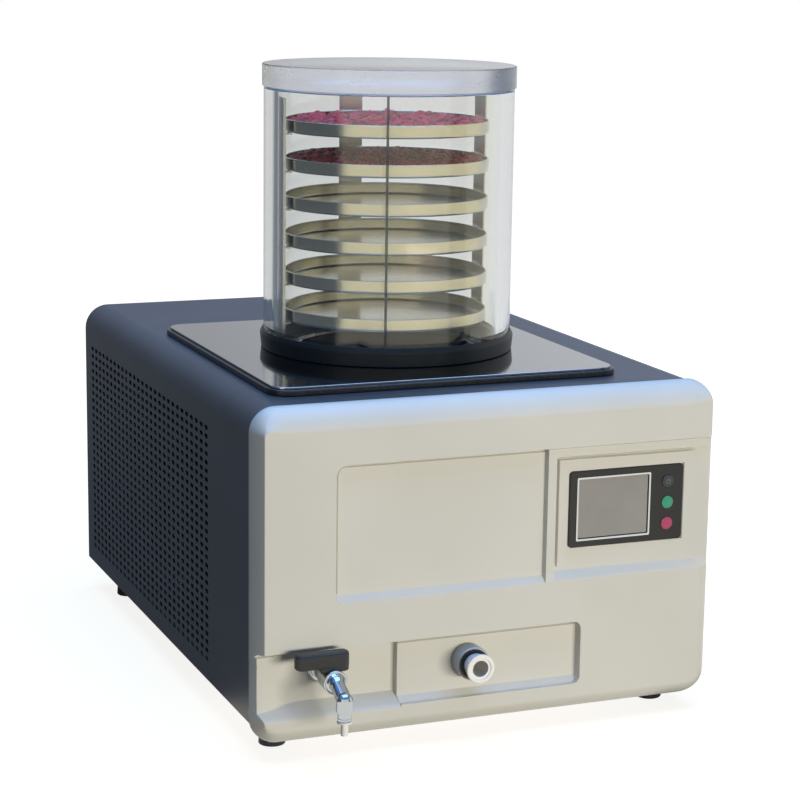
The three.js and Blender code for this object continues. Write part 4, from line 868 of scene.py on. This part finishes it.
def cover_sheet():
    """The wrapped sheet without its slots: outer and inner skin, edges and the mouth in the top."""
    half, top = cover_high[0], cover_high[2]
    field_y = [FIELD_Y + PITCH_Y * k for k in range(SLOTS + 1)]
    along = [cover_low[1], cover_low[1] + 60, FIELD_Y - PITCH_Y, *field_y, field_y[-1] + 13, cover_high[1]]
    side = [cover_low[2]] + [FIELD_Z + PITCH_Z * k for k in range(SLOTS + 1)]
    arc = [math.radians(a) for a in range(0, 91, 10)]
    top_x = [AXIS_X - MOUTH_HALF + 2 * MOUTH_HALF * k / MOUTH_CELLS for k in range(MOUTH_CELLS + 1)]

    def section(inset):
        left = [(-half + inset, z) for z in side]
        left += [(COVER_ROUND - half - (COVER_ROUND - inset) * math.cos(a),
                  top - COVER_ROUND + (COVER_ROUND - inset) * math.sin(a)) for a in arc]
        return left + [(x, top - inset) for x in top_x] + [(-x, z) for x, z in reversed(left)]

    skins = [section(0), section(SHEET)]
    stations, lines = len(skins[0]), len(along)
    points = [(x, y, z) for skin in skins for x, z in skin for y in along]
    layer = stations * lines
    first_top = len(side) + len(arc)
    solid = np.ones((stations - 1, lines - 1), bool)
    for first in (1, stations - 2 - SLOTS):
        solid[first:first + SLOTS, FIELD_LINE:FIELD_LINE + SLOTS] = False
    solid[first_top:first_top + MOUTH_CELLS, MOUTH_LINE:MOUTH_LINE + MOUTH_CELLS] = False
    faces = skin_faces(solid)
    edges = [(i * lines + j, lines) for i in range(stations - 1) for j in (0, lines - 1)]
    edges += [(i * lines + j, 1) for i in (0, stations - 1) for j in range(lines - 1)]
    faces += [(a, a + step, layer + a + step, layer + a) for a, step in edges]

    ring = border(first_top, MOUTH_LINE, MOUTH_CELLS, MOUTH_CELLS)
    base = len(points)
    for z in (top, top - SHEET):
        for i, j in ring:
            x, y = skins[0][i][0] - AXIS_X, along[j] - AXIS_Y
            reach = math.hypot(x, y)
            points.append((AXIS_X + MOUTH_RADIUS * x / reach, AXIS_Y + MOUTH_RADIUS * y / reach, z))
    count = len(ring)
    for k in range(count):
        n = (k + 1) % count
        a, b = ring[k][0] * lines + ring[k][1], ring[n][0] * lines + ring[n][1]
        faces.append((a, b, base + n, base + k))
        faces.append((layer + b, layer + a, base + count + k, base + count + n))
        faces.append((base + k, base + n, base + count + n, base + count + k))
    return mesh_piece("cabinet_cover_sheet", points, faces, enamel)


def cabinet_cover():
    cover = cover_sheet()
    tree = slot_tree()
    middle_y, middle_z = FIELD_Y + PITCH_Y * SLOTS / 2, FIELD_Z + PITCH_Z * SLOTS / 2
    for side in (-1, 1):
        grown(cover, tree, {
            "Slot Length": SLOT_LENGTH * MM, "Slot Height": SLOT_HEIGHT * MM,
            "Pitch Along": PITCH_Y * MM, "Pitch Up": PITCH_Z * MM, "Sheet": SHEET * MM,
            "Count Along": SLOTS, "Count Up": SLOTS,
            "Place": (side * cover_high[0] * MM, middle_y * MM, middle_z * MM),
            "Turn": (math.pi / 2, 0, side * math.pi / 2), "Finish": enamel,
        })
    fit(smooth(cover, 30), CABINET, ["cabinet_cover"])


cabinet_cover()

# Screwed-on rubber feet, tapered, with a recess for the screw.
for corner in ("front_left", "front_right", "rear_left", "rear_right"):
    name = "foot_" + corner
    low, high = ends(name)
    spun("rubber_" + name, [
        (0, low + 5, 0), (4.5, low + 5, 0.5), (4.5, low, 0.6), (14, low, 1.6), (12, high, 1), (0, high, 0),
    ], middle(name, (0, 1)), rubber, name, "black_rubber", closed=False, sides=48)


# ---------------------------------------------------------------- plate and chamber


VESSEL_RADIUS = 100
OUTER_EDGE, HOLE_BEVEL = 20, 0.4
TUBE_WALL, OUTER_SKIN = 15, 5
SEAL_WIDTH = 7
# The tube's seam, in degrees to each side: dark cement, a groove, and a raised lip with a soft edge.
# Then how far the lip rises and how deep the groove is.
SEAM_HALF, SEAM_LINE, SEAM_LIP, SEAM_EDGE = 0.6, 0.35, 2.1, 0.4
SEAM_RISE, SEAM_GROOVE = 0.25, 0.2


def radius_of(node_name):
    low, high = ends(node_name, 0)
    return (high - low) / 2


def plate_piece(name, node_name, radius, hole, bevel, finish):
    """Flat plate with round corners, eased edges and a round hole for the chamber."""
    low, high = edges_of(node_name)

    def outer(inset, z):
        return corner_loop(low, high, inset, radius - inset, 10, z, along=24)

    def ring(r, z):
        return [around(CENTRE, r, math.atan2(y - AXIS_Y, x - AXIS_X), z) for x, y, _ in outer(0, z)]

    foot, top = low[2], high[2]
    rim = [(OUTER_EDGE, foot, 0), (0, foot, bevel * 0.5), (0, top, bevel), (OUTER_EDGE, top, 0)]
    rim = eased(rim, closed=False)
    loops = [outer(inset, z) for inset, z in rim[1:-1]]
    loops += [ring(hole + HOLE_BEVEL, top), ring(hole, top - HOLE_BEVEL), ring(hole, foot)]
    fit(smooth(lofted(name, loops, finish, wrap=True)), CABINET, [node_name])


vessel_hole = radius_of("cold_vessel") + 0.3
plate_piece("slab_frame", "plate_frame", 24, vessel_hole, 1.4, slab_nylon)
plate_piece("polished_plate", "top_plate", 20, VESSEL_RADIUS, 0.5, plate_steel)

tube_radius = radius_of("chamber_tube")
bore_radius = tube_radius - TUBE_WALL
gasket_radius = radius_of("chamber_gasket")
foot, lip = ends("chamber_gasket")
spun("foot_gasket", [
    (bore_radius, foot, 0.8), (gasket_radius - 1.5, foot, 1.5), (gasket_radius, lip - 5, 4),
    (gasket_radius - 2.6, lip, 1.2), (tube_radius + 0.3, lip, 0.3), (tube_radius + 0.3, lip - 4, 0.3),
    (bore_radius, lip - 4, 0.6),
], CENTRE, gasket_rubber, "chamber_gasket", "black_rubber", sides=160)


def chamber_tube():
    """Rolled acrylic tube. Its bonded seam, on the side of the camera, stands a little proud inside."""
    seam = math.radians(CAMERA_AZIMUTH - 90)
    offsets = (SEAM_LIP, SEAM_LIP - SEAM_EDGE / 2, SEAM_LIP - SEAM_EDGE, SEAM_HALF, SEAM_LINE)
    turns = [2 * math.pi * k / 192 for k in range(192)]
    turns += [(seam + math.radians(d)) % (2 * math.pi) for off in offsets for d in (-off, off)]
    turns = sorted(turns + [seam % (2 * math.pi)])

    def off_seam(turn):
        return abs(math.degrees((turn - seam + math.pi) % (2 * math.pi) - math.pi))

    def ring(radius, z):
        if radius >= tube_radius - OUTER_SKIN:
            return [around(CENTRE, radius, turn, z) for turn in turns]
        loop = []
        for turn in turns:
            off = off_seam(turn)
            rise = SEAM_RISE * max(0, min(1, (SEAM_LIP - off) / SEAM_EDGE))
            rise -= SEAM_GROOVE * max(0, 1 - off / SEAM_LINE)
            loop.append(around(CENTRE, radius - rise, turn, z))
        return loop

    low, high = ends("chamber_tube")
    profile = eased([(bore_radius, low, 0.5), (tube_radius, low, 0.8), (tube_radius, high, 0.8),
                     (bore_radius, high, 0.5)], steps=3)
    made = smooth(lofted("acrylic_tube", [ring(r, z) for r, z in profile], tube_acrylic, wrap=True), 25)
    made.data.materials.append(seam_cement)
    for face in made.data.polygons:
        x, y = face.center.x / MM - AXIS_X, face.center.y / MM - AXIS_Y
        if off_seam(math.atan2(y, x)) < SEAM_HALF and math.hypot(x, y) > tube_radius - OUTER_SKIN:
            face.material_index = 1
    fit(made, CABINET, ["chamber_tube"])


chamber_tube()

seal_radius = radius_of("lid_seal")
foot, lip = ends("lid_seal")
seal_bore = seal_radius - SEAL_WIDTH
spun("lid_seal_ring", [
    (seal_bore, foot, 0.4), (seal_radius, foot, 0.4), (seal_radius, lip, 0.4), (seal_bore, lip, 0.4),
], CENTRE, seal_rubber, "lid_seal", "clear_seal", steps=2, sides=160)


def chamber_lid():
    """Clear disc with its own finish round the rim."""
    low, high = ends("chamber_lid")
    radius = radius_of("chamber_lid")
    profile = eased([(0, low, 0), (radius, low, 1.2), (radius, high, 1.6), (0, high, 0)], closed=False)
    lid = turned("acrylic_lid", profile, CENTRE, lid_acrylic, sides=192)
    lid.data.materials.append(rim_acrylic)
    for face in lid.data.polygons:
        face.material_index = int(abs(face.normal.z) < 0.9)
    fit(smooth(lid), CABINET, ["chamber_lid"])


chamber_lid()


# ---------------------------------------------------------------- trays and berries


RACK = middle("rack_ring", (0, 1))
TRAY_WALL, TRAY_FOOT = 1.2, 3.2


def tray(name):
    """Spun tray with a rounded foot and a rolled rim."""
    low, high = ends(name)
    radius = radius_of(name)
    spun("spun_" + name, [
        (0, low, 0), (radius, low, TRAY_FOOT), (radius, high - 0.2, 0.6), (radius - 2.0, high, 0.7),
        (radius - 2.0, high - 1.8, 0.4), (radius - TRAY_WALL, high - 2.4, 0.4),
        (radius - TRAY_WALL, low + TRAY_WALL, TRAY_FOOT - TRAY_WALL), (0, low + TRAY_WALL, 0),
    ], RACK, tray_steel, name, "stainless", closed=False, steps=4, sides=120)


for number in range(1, 7):
    tray(f"tray_{number}")


def berry_tree():
    """Berries scattered on a disc: one lumpy berry, turned and sized at random."""
    lengths = ("Spacing", "Smallest", "Largest", "Lift")
    tree, given = node_tree("berry_scatter", [*((label, "Float") for label in lengths), ("Seed", "Int"),
                                              ("Finish", "Material")])

    def random(kind, **inputs):
        return node(tree, "FunctionNodeRandomValue", inputs, data_type=kind)

    seed = {"Seed": given["Seed"]}
    points = geometry(tree, "DistributePointsOnFaces", {
        "Mesh": given["Geometry"], "Distance Min": given["Spacing"], "Density Max": 30000.0, **seed,
    }, distribute_method="POISSON")
    lift = random("FLOAT_VECTOR", Min=(0, 0, 0), **seed)
    up = node(tree, "ShaderNodeCombineXYZ", {"Z": given["Lift"]}).outputs[0]
    tree.links.new(up, socket_of(lift.inputs, "VECTOR", "Max"))
    moved = geometry(tree, "SetPosition", {"Geometry": points, "Offset": socket_of(lift.outputs, "VECTOR")})

    ball = geometry(tree, "MeshIcoSphere", {"Radius": 1.0, "Subdivisions": 2})
    lumps = node(tree, "ShaderNodeTexNoise", {"Scale": 1.6, "Detail": 1.0}).outputs["Fac"]
    size = maths(tree, "ADD", lumps, 0.55)
    place = geometry(tree, "InputPosition", {})
    shaped = node(tree, "ShaderNodeVectorMath", {0: place, "Scale": size}, operation="SCALE").outputs[0]
    lumpy = geometry(tree, "SetPosition", {"Geometry": ball, "Position": shaped})

    turn = random("FLOAT_VECTOR", Seed=7)
    socket_of(turn.inputs, "VECTOR", "Max").default_value = (6.28, 6.28, 6.28)
    scale = random("FLOAT", Seed=11)
    for name, source in (("Min", "Smallest"), ("Max", "Largest")):
        tree.links.new(given[source], socket_of(scale.inputs, "VALUE", name))
    copies = geometry(tree, "InstanceOnPoints", {
        "Points": moved, "Instance": lumpy, "Rotation": socket_of(turn.outputs, "VECTOR"),
        "Scale": socket_of(scale.outputs, "VALUE"),
    })
    return finished_tree(tree, geometry(tree, "RealizeInstances", {"Geometry": copies}), given["Finish"])


def berries(number, tree):
    name = f"tray_{number}_load"
    height, reach = ends(name)[0] + 5, radius_of(name) - 7
    ring = [around(RACK, reach, math.radians(a), height) for a in range(0, 360, 10)]
    disc = mesh_piece(f"loose_berries_{number}", ring, [tuple(range(len(ring)))], berry)
    grown(disc, tree, {
        "Spacing": 9.4 * MM, "Smallest": 5.8 * MM, "Largest": 7.4 * MM, "Lift": 2.5 * MM,
        "Seed": number, "Finish": berry,
    })
    disc.data.shade_smooth()
    fit(disc, CABINET, [name])


scatter = berry_tree()
for number in (1, 2):
    berries(number, scatter)


# ---------------------------------------------------------------- ports and controls


MARK_THICK = 0.25


def port_ring(node_name, outer, bore, bevel, finish, slot_name):
    """Ring on the pump port, along Y."""
    front, back = ends(node_name, 1)
    spun("turned_" + node_name, [
        (bore, front, bevel * 0.6), (outer, front, bevel), (outer, back, bevel), (bore, back, bevel * 0.3),
    ], PORT, finish, node_name, slot_name, axis="y", sides=72)


front, back = ends("port_nozzle", 1)
spun("flanged_port", [
    (8.5, front + 1.2, 0.3), (11.2, front + 1.2, 0.2), (11.2, front, 0.3), (15, front, 0.9),
    (15, front + 3.2, 0.7), (12, front + 7, 2.5), (12, back, 0.4), (8.5, back, 0.3),
], PORT, acetal, "port_nozzle", "white_plastic", axis="y", sides=72)
port_ring("port_seal", 15.5, 12.3, 1.2, rubber, "black_rubber")
# The collar's grey is partly painted shade, standing in for the soft shadow round the port.
port_ring("port_collar", 17.5, 12.3, 0.8, grey_acetal_and_shade, "grey_plastic")


def screen_and_bezel():
    """Bezel with a bevelled edge and a bright line round the touch screen."""
    glass_low, glass_high = edges_of("display_screen")
    front, back = bezel_low[1], bezel_high[1]

    def window(steps):
        """Loops round the screen through (growth, depth) steps."""
        return [corner_loop(glass_low, glass_high, -grow, 1.4, 8, front + deep, "y") for grow, deep in steps]

    def ring(name, steps, finish, slot_name):
        fit(smooth(lofted(name, window(steps), finish, wrap=True), 40), CABINET, [])

    edge = ((0, back), (0, front + 0.9), (0.35, front + 0.3), (0.9, front))
    loops = [corner_loop(bezel_low, bezel_high, inset, 4 - inset, 8, y, "y") for inset, y in edge]
    loops += window(((1.9, 0), (1.7, 0.5), (0.4, 0.5), (0.4, back - front)))
    bezel = smooth(lofted("moulded_bezel", loops, black_abs, wrap=True), 25)
    fit(bezel, CABINET, ["control_bezel"])
    silver = ((1.6, 0.45), (1.5, 0), (1.2, -0.1), (-0.2, -0.1), (-0.5, 0.1), (-0.5, 0.45))
    ring("screen_frame", silver, frame_silver, "chrome_plate")
    ring("screen_well", ((0.2, 0.5), (-0.55, 0.5), (-1.4, 2.3), (0.2, 2.3)), black_abs, "black_plastic")
    glass = [corner_loop(glass_low, glass_high, 0.1, 1.0, 6, y, "y") for y in (front + 2.35, glass_high[1])]
    fit(lofted("screen_glass", glass, screen), CABINET, ["display_screen"])


screen_and_bezel()


def push_button(name, finish, slot_name):
    """Round cap with a domed edge and a shallow dish."""
    node_name = name + "_button"
    front, back = ends(node_name, 1)
    radius = radius_of(node_name)
    spun("cap_" + node_name, [
        (0, front + 0.35, 0), (radius * 0.7, front + 0.1, 3), (radius, front, 1.0), (radius, back, 0.2),
        (0, back, 0),
    ], middle(node_name), finish, node_name, slot_name, name + "_cap", 40, closed=False, axis="y", sides=48)


push_button("power", black_cap, "black_plastic")
push_button("start", green_cap, "green_plastic")
push_button("stop", red_cap, "red_plastic")


def power_mark():
    """Printed on-off mark on the black cap: an open ring and a stroke."""
    x, z = middle("power_button")
    y = ends("power_button", 1)[0] - 0.02
    arc = [math.radians(a) for a in range(125, 416, 10)]
    rings = ((2.1, 0), (2.6, 0), (2.6, MARK_THICK), (2.1, MARK_THICK))
    points = [around((x, z), r, a, y + d, "y") for r, d in rings for a in arc]
    count = len(arc)
    faces = [(r * count + i, r * count + i + 1, (r + 1) % 4 * count + i + 1, (r + 1) % 4 * count + i)
             for r in range(4) for i in range(count - 1)]
    faces += [(0, count, 2 * count, 3 * count), (count - 1, 2 * count - 1, 3 * count - 1, 4 * count - 1)]
    ring = mesh_piece("mark_ring", points, faces, mark_grey)
    low, high = (x - 0.28, y, z + 0.6), (x + 0.28, y, z + 3.0)
    loops = [corner_loop(low, high, 0, 0.25, 4, level, "y") for level in (y, y + MARK_THICK)]
    mark = joined("power_mark", [ring, lofted("mark_stroke", loops, mark_grey)])
    fit(mark, "power_cap", [])


power_mark()


# ---------------------------------------------------------------- drain tap


tap_x, tap_stem, tap_z = middle("valve_ball", (0, 1, 2))
spout_y = middle("spout", (1,))[0]
SPOUT = (tap_x, spout_y)
handle_low, handle_high = edges_of("valve_handle")
NECK, BAR_ROUND = 8.5, 6.8


def tap_body():
    """Chromed body: rosette, barrel with its ball housing, and a neck to an elbow over the spout."""
    front, back, floor = tap_stem - 12, tap_stem + 12, FACE + TAP_DEEP
    low, rear = ends("valve_body")[0], ends("valve_body", 1)[1]
    barrel = eased([
        (0, front - 3, 0), (NECK, front - 3, 1.0), (10.2, front, 0.6), (12.5, front, 1.6),
        (12.5, front + 8, 0.5), (11.6, front + 9, 0.4), (11.6, back - 1, 0.8), (9, back, 0.8),
        (9, floor - 5.4, 0.8), (11.2, floor - 5.3, 0.8), (13.5, floor - 1.6, 1.2), (13.5, floor - 0.3, 0.2),
        (9, floor - 0.3, 0.2), (9, rear, 0.5), (0, rear, 0),
    ], closed=False)
    pieces = [turned("tap_barrel", barrel, (tap_x, tap_z), chrome, axis="y", sides=72)]
    elbow_z = low + 11
    dome = [math.radians(a) for a in range(84, -1, -6)]
    elbow = [(0, elbow_z + NECK)] + [(NECK * math.cos(a), elbow_z + NECK * math.sin(a)) for a in dome]
    elbow += eased([(NECK, elbow_z, 0), (NECK, low, 0.7), (0, low, 0)], closed=False)[1:]
    pieces.append(turned("tap_elbow", elbow, SPOUT, chrome, sides=72))
    start, end = Vector((tap_x, front, tap_z + 1)), Vector((tap_x, spout_y, elbow_z))
    across = Vector((1, 0, 0))
    upward = across.cross((end - start).normalized())
    turns = [2 * math.pi * k / 48 for k in range(48)]
    ways = [math.cos(t) * across + math.sin(t) * upward for t in turns]
    loops = [[tuple(start.lerp(end, share) + radius * way) for way in ways]
             for share, radius in ((0, 8.6), (0.16, 8.4), (0.24, 7.5), (1, 7.5))]
    pieces.append(lofted("tap_neck", loops, chrome))
    fit(smooth(joined("chromed_tap", pieces), 35), CABINET, ["valve_body"])


def tap_handle():
    """Moulded bar with soft edges, thicker over the stem, on a hub."""
    def soft_block(name, left, low, round_low, less=0.0):
        top = handle_high[2] - less
        rim = eased([(6, low, 0), (0, low, round_low), (0, top, 3.0), (6, top, 0)], closed=False, steps=6)
        start = (left, handle_low[1])
        rim = [(inset + less, z) for inset, z in rim[1:-1]]
        rings = [corner_loop(start, handle_high, inset, BAR_ROUND - inset, 9, z) for inset, z in rim]
        return lofted(name, rings, handle_nylon)

    foot = handle_low[2]
    base = handle_high[2] - 15.5
    bar = soft_block("tap_bar", handle_low[0], base, 2.2)
    boss = soft_block("tap_boss", tap_x - 14, base - 4, 1.6, 0.25)
    hub = eased([(0, foot, 0), (6.25, foot, 0.7), (6.25, base - 2, 0.3), (0, base - 2, 0)], closed=False)
    hub = turned("tap_hub", hub, (tap_x, tap_stem), handle_nylon, sides=48)
    fit(smooth(joined("tap_handle", [bar, boss, hub]), 40), "tap_lever", ["valve_handle"])


def tap_spout():
    """Chromed outlet tube with a beaded lower edge, and the hose tail below it."""
    low, high = ends("spout")
    spun("chromed_spout", [
        (4, low + 2, 0.3), (4, low, 0.3), (7, low, 0.6), (7, low + 2.6, 0.3), (6.7, low + 3.0, 0.2),
        (6.7, high - 1.8, 0.4), (7, high - 1.2, 0.3), (7, high, 0.4), (4, high, 0.3),
    ], SPOUT, chrome, "spout", "chrome_plate", angle=35, sides=64)
    tip, top = ends("spout_nozzle")
    flange, seat = low - 2.3, low - 0.3
    spun("hose_tail", [
        (2.3, tip, 0.3), (3.7, tip, 0.8), (3.7, flange, 0.4), (7.5, flange, 0.4), (7.5, seat, 0.4),
        (3.7, seat, 0.1), (3.7, top, 0.3), (2.3, top, 0.3),
    ], SPOUT, acetal, "spout_nozzle", "white_plastic", angle=35, sides=48)


tap_body()
tap_handle()
tap_spout()


# ---------------------------------------------------------------- screws


def rear_screws():
    """Pan-head screws that hold the rear panel."""
    low, high = edges_of("rear_panel")
    y = high[1]
    profile = eased([
        (0, y - 0.4, 0), (3.6, y - 0.4, 0), (3.6, y + 0.7, 0.2), (2.6, y + 1.9, 1.2), (0, y + 2.1, 0),
    ], closed=False, steps=3)
    places = [(x, z) for x in (low[0] + 9, high[0] - 9) for z in (low[2] + 14, high[2] - 40)]
    places += [(x, z) for x in (-90, 90) for z in (low[2] + 9, high[2] - 9)]
    heads = [turned(f"screw_{k}", profile, place, screw_steel, axis="y", sides=20)
             for k, place in enumerate(places)]
    fit(smooth(joined("rear_screws", heads), 40), CABINET, [])


rear_screws()


# ---------------------------------------------------------------- finishes of the CAD nodes that stay


FINISHES = {
    "cover_paint": enamel, "panel_plastic": abs_cream, "black_plastic": nylon, "black_rubber": rubber,
    "grey_plastic": grey_acetal_and_shade, "white_plastic": acetal, "stainless": rack_steel, "chrome_plate": chrome,
    "zinc_sheet": zinc, "copper_tube": copper, "compressor_paint": shell_enamel, "aluminium_fin": fins,
    "clear_acrylic": tube_acrylic, "clear_seal": seal_rubber, "screen_glass": screen, "foam": foam,
    "green_plastic": green_cap, "red_plastic": red_cap, "berry_skin": berry, "board_green": board,
}
OWN_FINISH = {"evaporator_coil": copper, "fan_rotor": nylon, "rear_panel": enamel}

for name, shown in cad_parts.items():
    for place in shown.material_slots:
        place.material = OWN_FINISH.get(name, FINISHES[place.material.name.split(".")[0]])


# ---------------------------------------------------------------- floor and light


# Strengths of the room that mirrors and clear parts see, by side, and of the light that fills shadows.
FRONT, LEFT, BACK_LEFT, BACK_RIGHT, OVERHEAD = 1.12, 0.38, 0.54, 0.84, 0.8
BACKDROP, FILL = 0.75, 0.12
# Brightness of the paper near the object. It rises to full white further out.
NEAR_LIFT, NEAR_EDGE, FAR_EDGE = 0.86, 0.6, 1.8
KEY_POWER, SKY_POWER = 113, 104


def softbox(name, centre, width, height, aim, code, power):
    """An area lamp that faces a point."""
    data = bpy.data.lights.new(name, "AREA")
    data.shape = "RECTANGLE"
    data.size, data.size_y = width, height
    data.energy = power
    data.color = colour(code)[:3]
    lamp = bpy.data.objects.new(name, data)
    lamp.location = centre
    lamp.rotation_euler = (Vector(aim) - Vector(centre)).to_track_quat("-Z", "Y").to_euler()
    bpy.context.scene.collection.objects.link(lamp)
    return lamp


def blended(tree, share, first, second):
    return node(tree, "ShaderNodeMixShader", {0: share, 1: first, 2: second}).outputs["Shader"]


def glow(tree, kind, code, strength):
    return node(tree, kind, {"Color": colour(code), "Strength": strength}).outputs[0]


def surroundings(tree, kind, x, y, through):
    """What mirrors and clear parts see by heading: cream in front, dark on the left, pale grey behind."""
    def past(value, start, end):
        return span(tree, value, 0, 1, start, end)

    def both(*values):
        return maths(tree, "MULTIPLY", *values)

    left_of, front_of = both(x, -1.0), both(y, -1.0)
    shade, pale, pale_right, white, cream, backdrop = (
        glow(tree, kind, code, strength) for code, strength in (
            ("#9AA4B0", LEFT), ("#EEF0F4", BACK_LEFT), ("#EEF0F4", BACK_RIGHT), ("#FFFDF4", FRONT),
            ("#FFF7D6", FRONT), ("#FFFFFF", BACKDROP),
        )
    )
    back = blended(tree, past(x, 0.28, 0.46), pale, pale_right)
    front = blended(tree, through, white, cream)
    # A dark gap at the front right, which draws a streak on bright metal.
    unbent = span(tree, through, 1, 0)
    gap = both(past(x, 0.55, 0.6), past(left_of, -0.82, -0.77), past(front_of, 0.1, 0.2), unbent)
    front = blended(tree, gap, front, shade)
    room = blended(tree, past(y, 0.05, 0.25), front, back)
    dark = maths(tree, "MAXIMUM", both(past(left_of, 0.86, 0.9), past(y, -0.42, -0.36)),
                 both(past(left_of, 0.2, 0.34), past(y, -0.30, -0.25)))
    room = blended(tree, dark, room, shade)
    return blended(tree, both(through, past(y, 0.3, 0.5), past(x, -0.34, -0.2)), room, backdrop)


def mirrored_or_seen(tree, path, other, room, seen):
    """Seen by the camera, in a mirror or through clear parts, or else lighting the object."""
    bent = maths(tree, "MAXIMUM", path["Is Glossy Ray"], path["Is Transmission Ray"])
    return blended(tree, path["Is Camera Ray"], blended(tree, bent, other, room), seen)


def paper_floor():
    """Pale studio paper. Where it is seen it is white, with the shadow kept; it throws little light back."""
    made, tree, shader = material("studio_paper", "#8E8E8C", 0.95, Specular_IOR_Level=0.1)
    path = node(tree, "ShaderNodeLightPath").outputs
    tree.links.new(tint(tree, path["Is Camera Ray"], "#544A3E", "#B09A74"), shader.inputs["Base Color"])
    place = node(tree, "ShaderNodeTexCoord").outputs["Object"]
    distance = node(tree, "ShaderNodeVectorMath", {0: place}, operation="LENGTH").outputs["Value"]
    heading = node(tree, "ShaderNodeVectorMath", {0: place}, operation="NORMALIZE").outputs["Vector"]
    x, y, _ = node(tree, "ShaderNodeSeparateXYZ", {0: heading}).outputs[:3]
    kind = "ShaderNodeEmission"
    strength = span(tree, distance, NEAR_LIFT, 1.0, NEAR_EDGE, FAR_EDGE)
    lift = node(tree, kind, {"Strength": strength}).outputs[0]
    room = surroundings(tree, kind, x, y, path["Is Transmission Ray"])
    total = mirrored_or_seen(tree, path, glow(tree, kind, "#000000", 0.0), room, lift)
    add = node(tree, "ShaderNodeAddShader", {0: shader.outputs["BSDF"], 1: total}).outputs[0]
    tree.links.new(add, tree.nodes["Material Output"].inputs["Surface"])
    near, far, level = -9000, 12000, -0.5
    corners = [(near, near, level), (far, near, level), (far, far, level), (near, far, level)]
    mesh_piece("studio_floor", corners, [(0, 1, 2, 3)], made)


def studio_world():
    """Seen: white. Mirrored: the room, with blue overhead. Fill: low blue-grey."""
    world = bpy.data.worlds.new("studio")
    world.use_nodes = True
    bpy.context.scene.world = world
    tree = world.node_tree
    path = node(tree, "ShaderNodeLightPath").outputs
    heading = node(tree, "ShaderNodeTexCoord").outputs["Generated"]
    x, y, z = node(tree, "ShaderNodeSeparateXYZ", {0: heading}).outputs[:3]
    kind = "ShaderNodeBackground"
    room = surroundings(tree, kind, x, y, path["Is Transmission Ray"])
    room = blended(tree, span(tree, z, 0, 1, 0.45, 0.65), room, glow(tree, kind, "#7FB2FF", OVERHEAD))
    fill, seen = glow(tree, kind, "#D8E4F4", FILL), glow(tree, kind, "#FFFFFF", 1.0)
    whole = mirrored_or_seen(tree, path, fill, room, seen)
    tree.links.new(whole, tree.nodes["World Output"].inputs["Surface"])


paper_floor()
studio_world()
key = softbox("key", (0.75, -3.7, 0.25), 1.9, 0.5, (0, -0.3, 0.2), "#FFFAF0", KEY_POWER)
key.visible_glossy = False
key.visible_transmission = False
softbox("sky", (0.0, 0.0, 2.6), 2.6, 2.6, (0, 0, 0.4), "#86B6FA", SKY_POWER)
bpy.context.scene.view_settings.view_transform = "Standard"
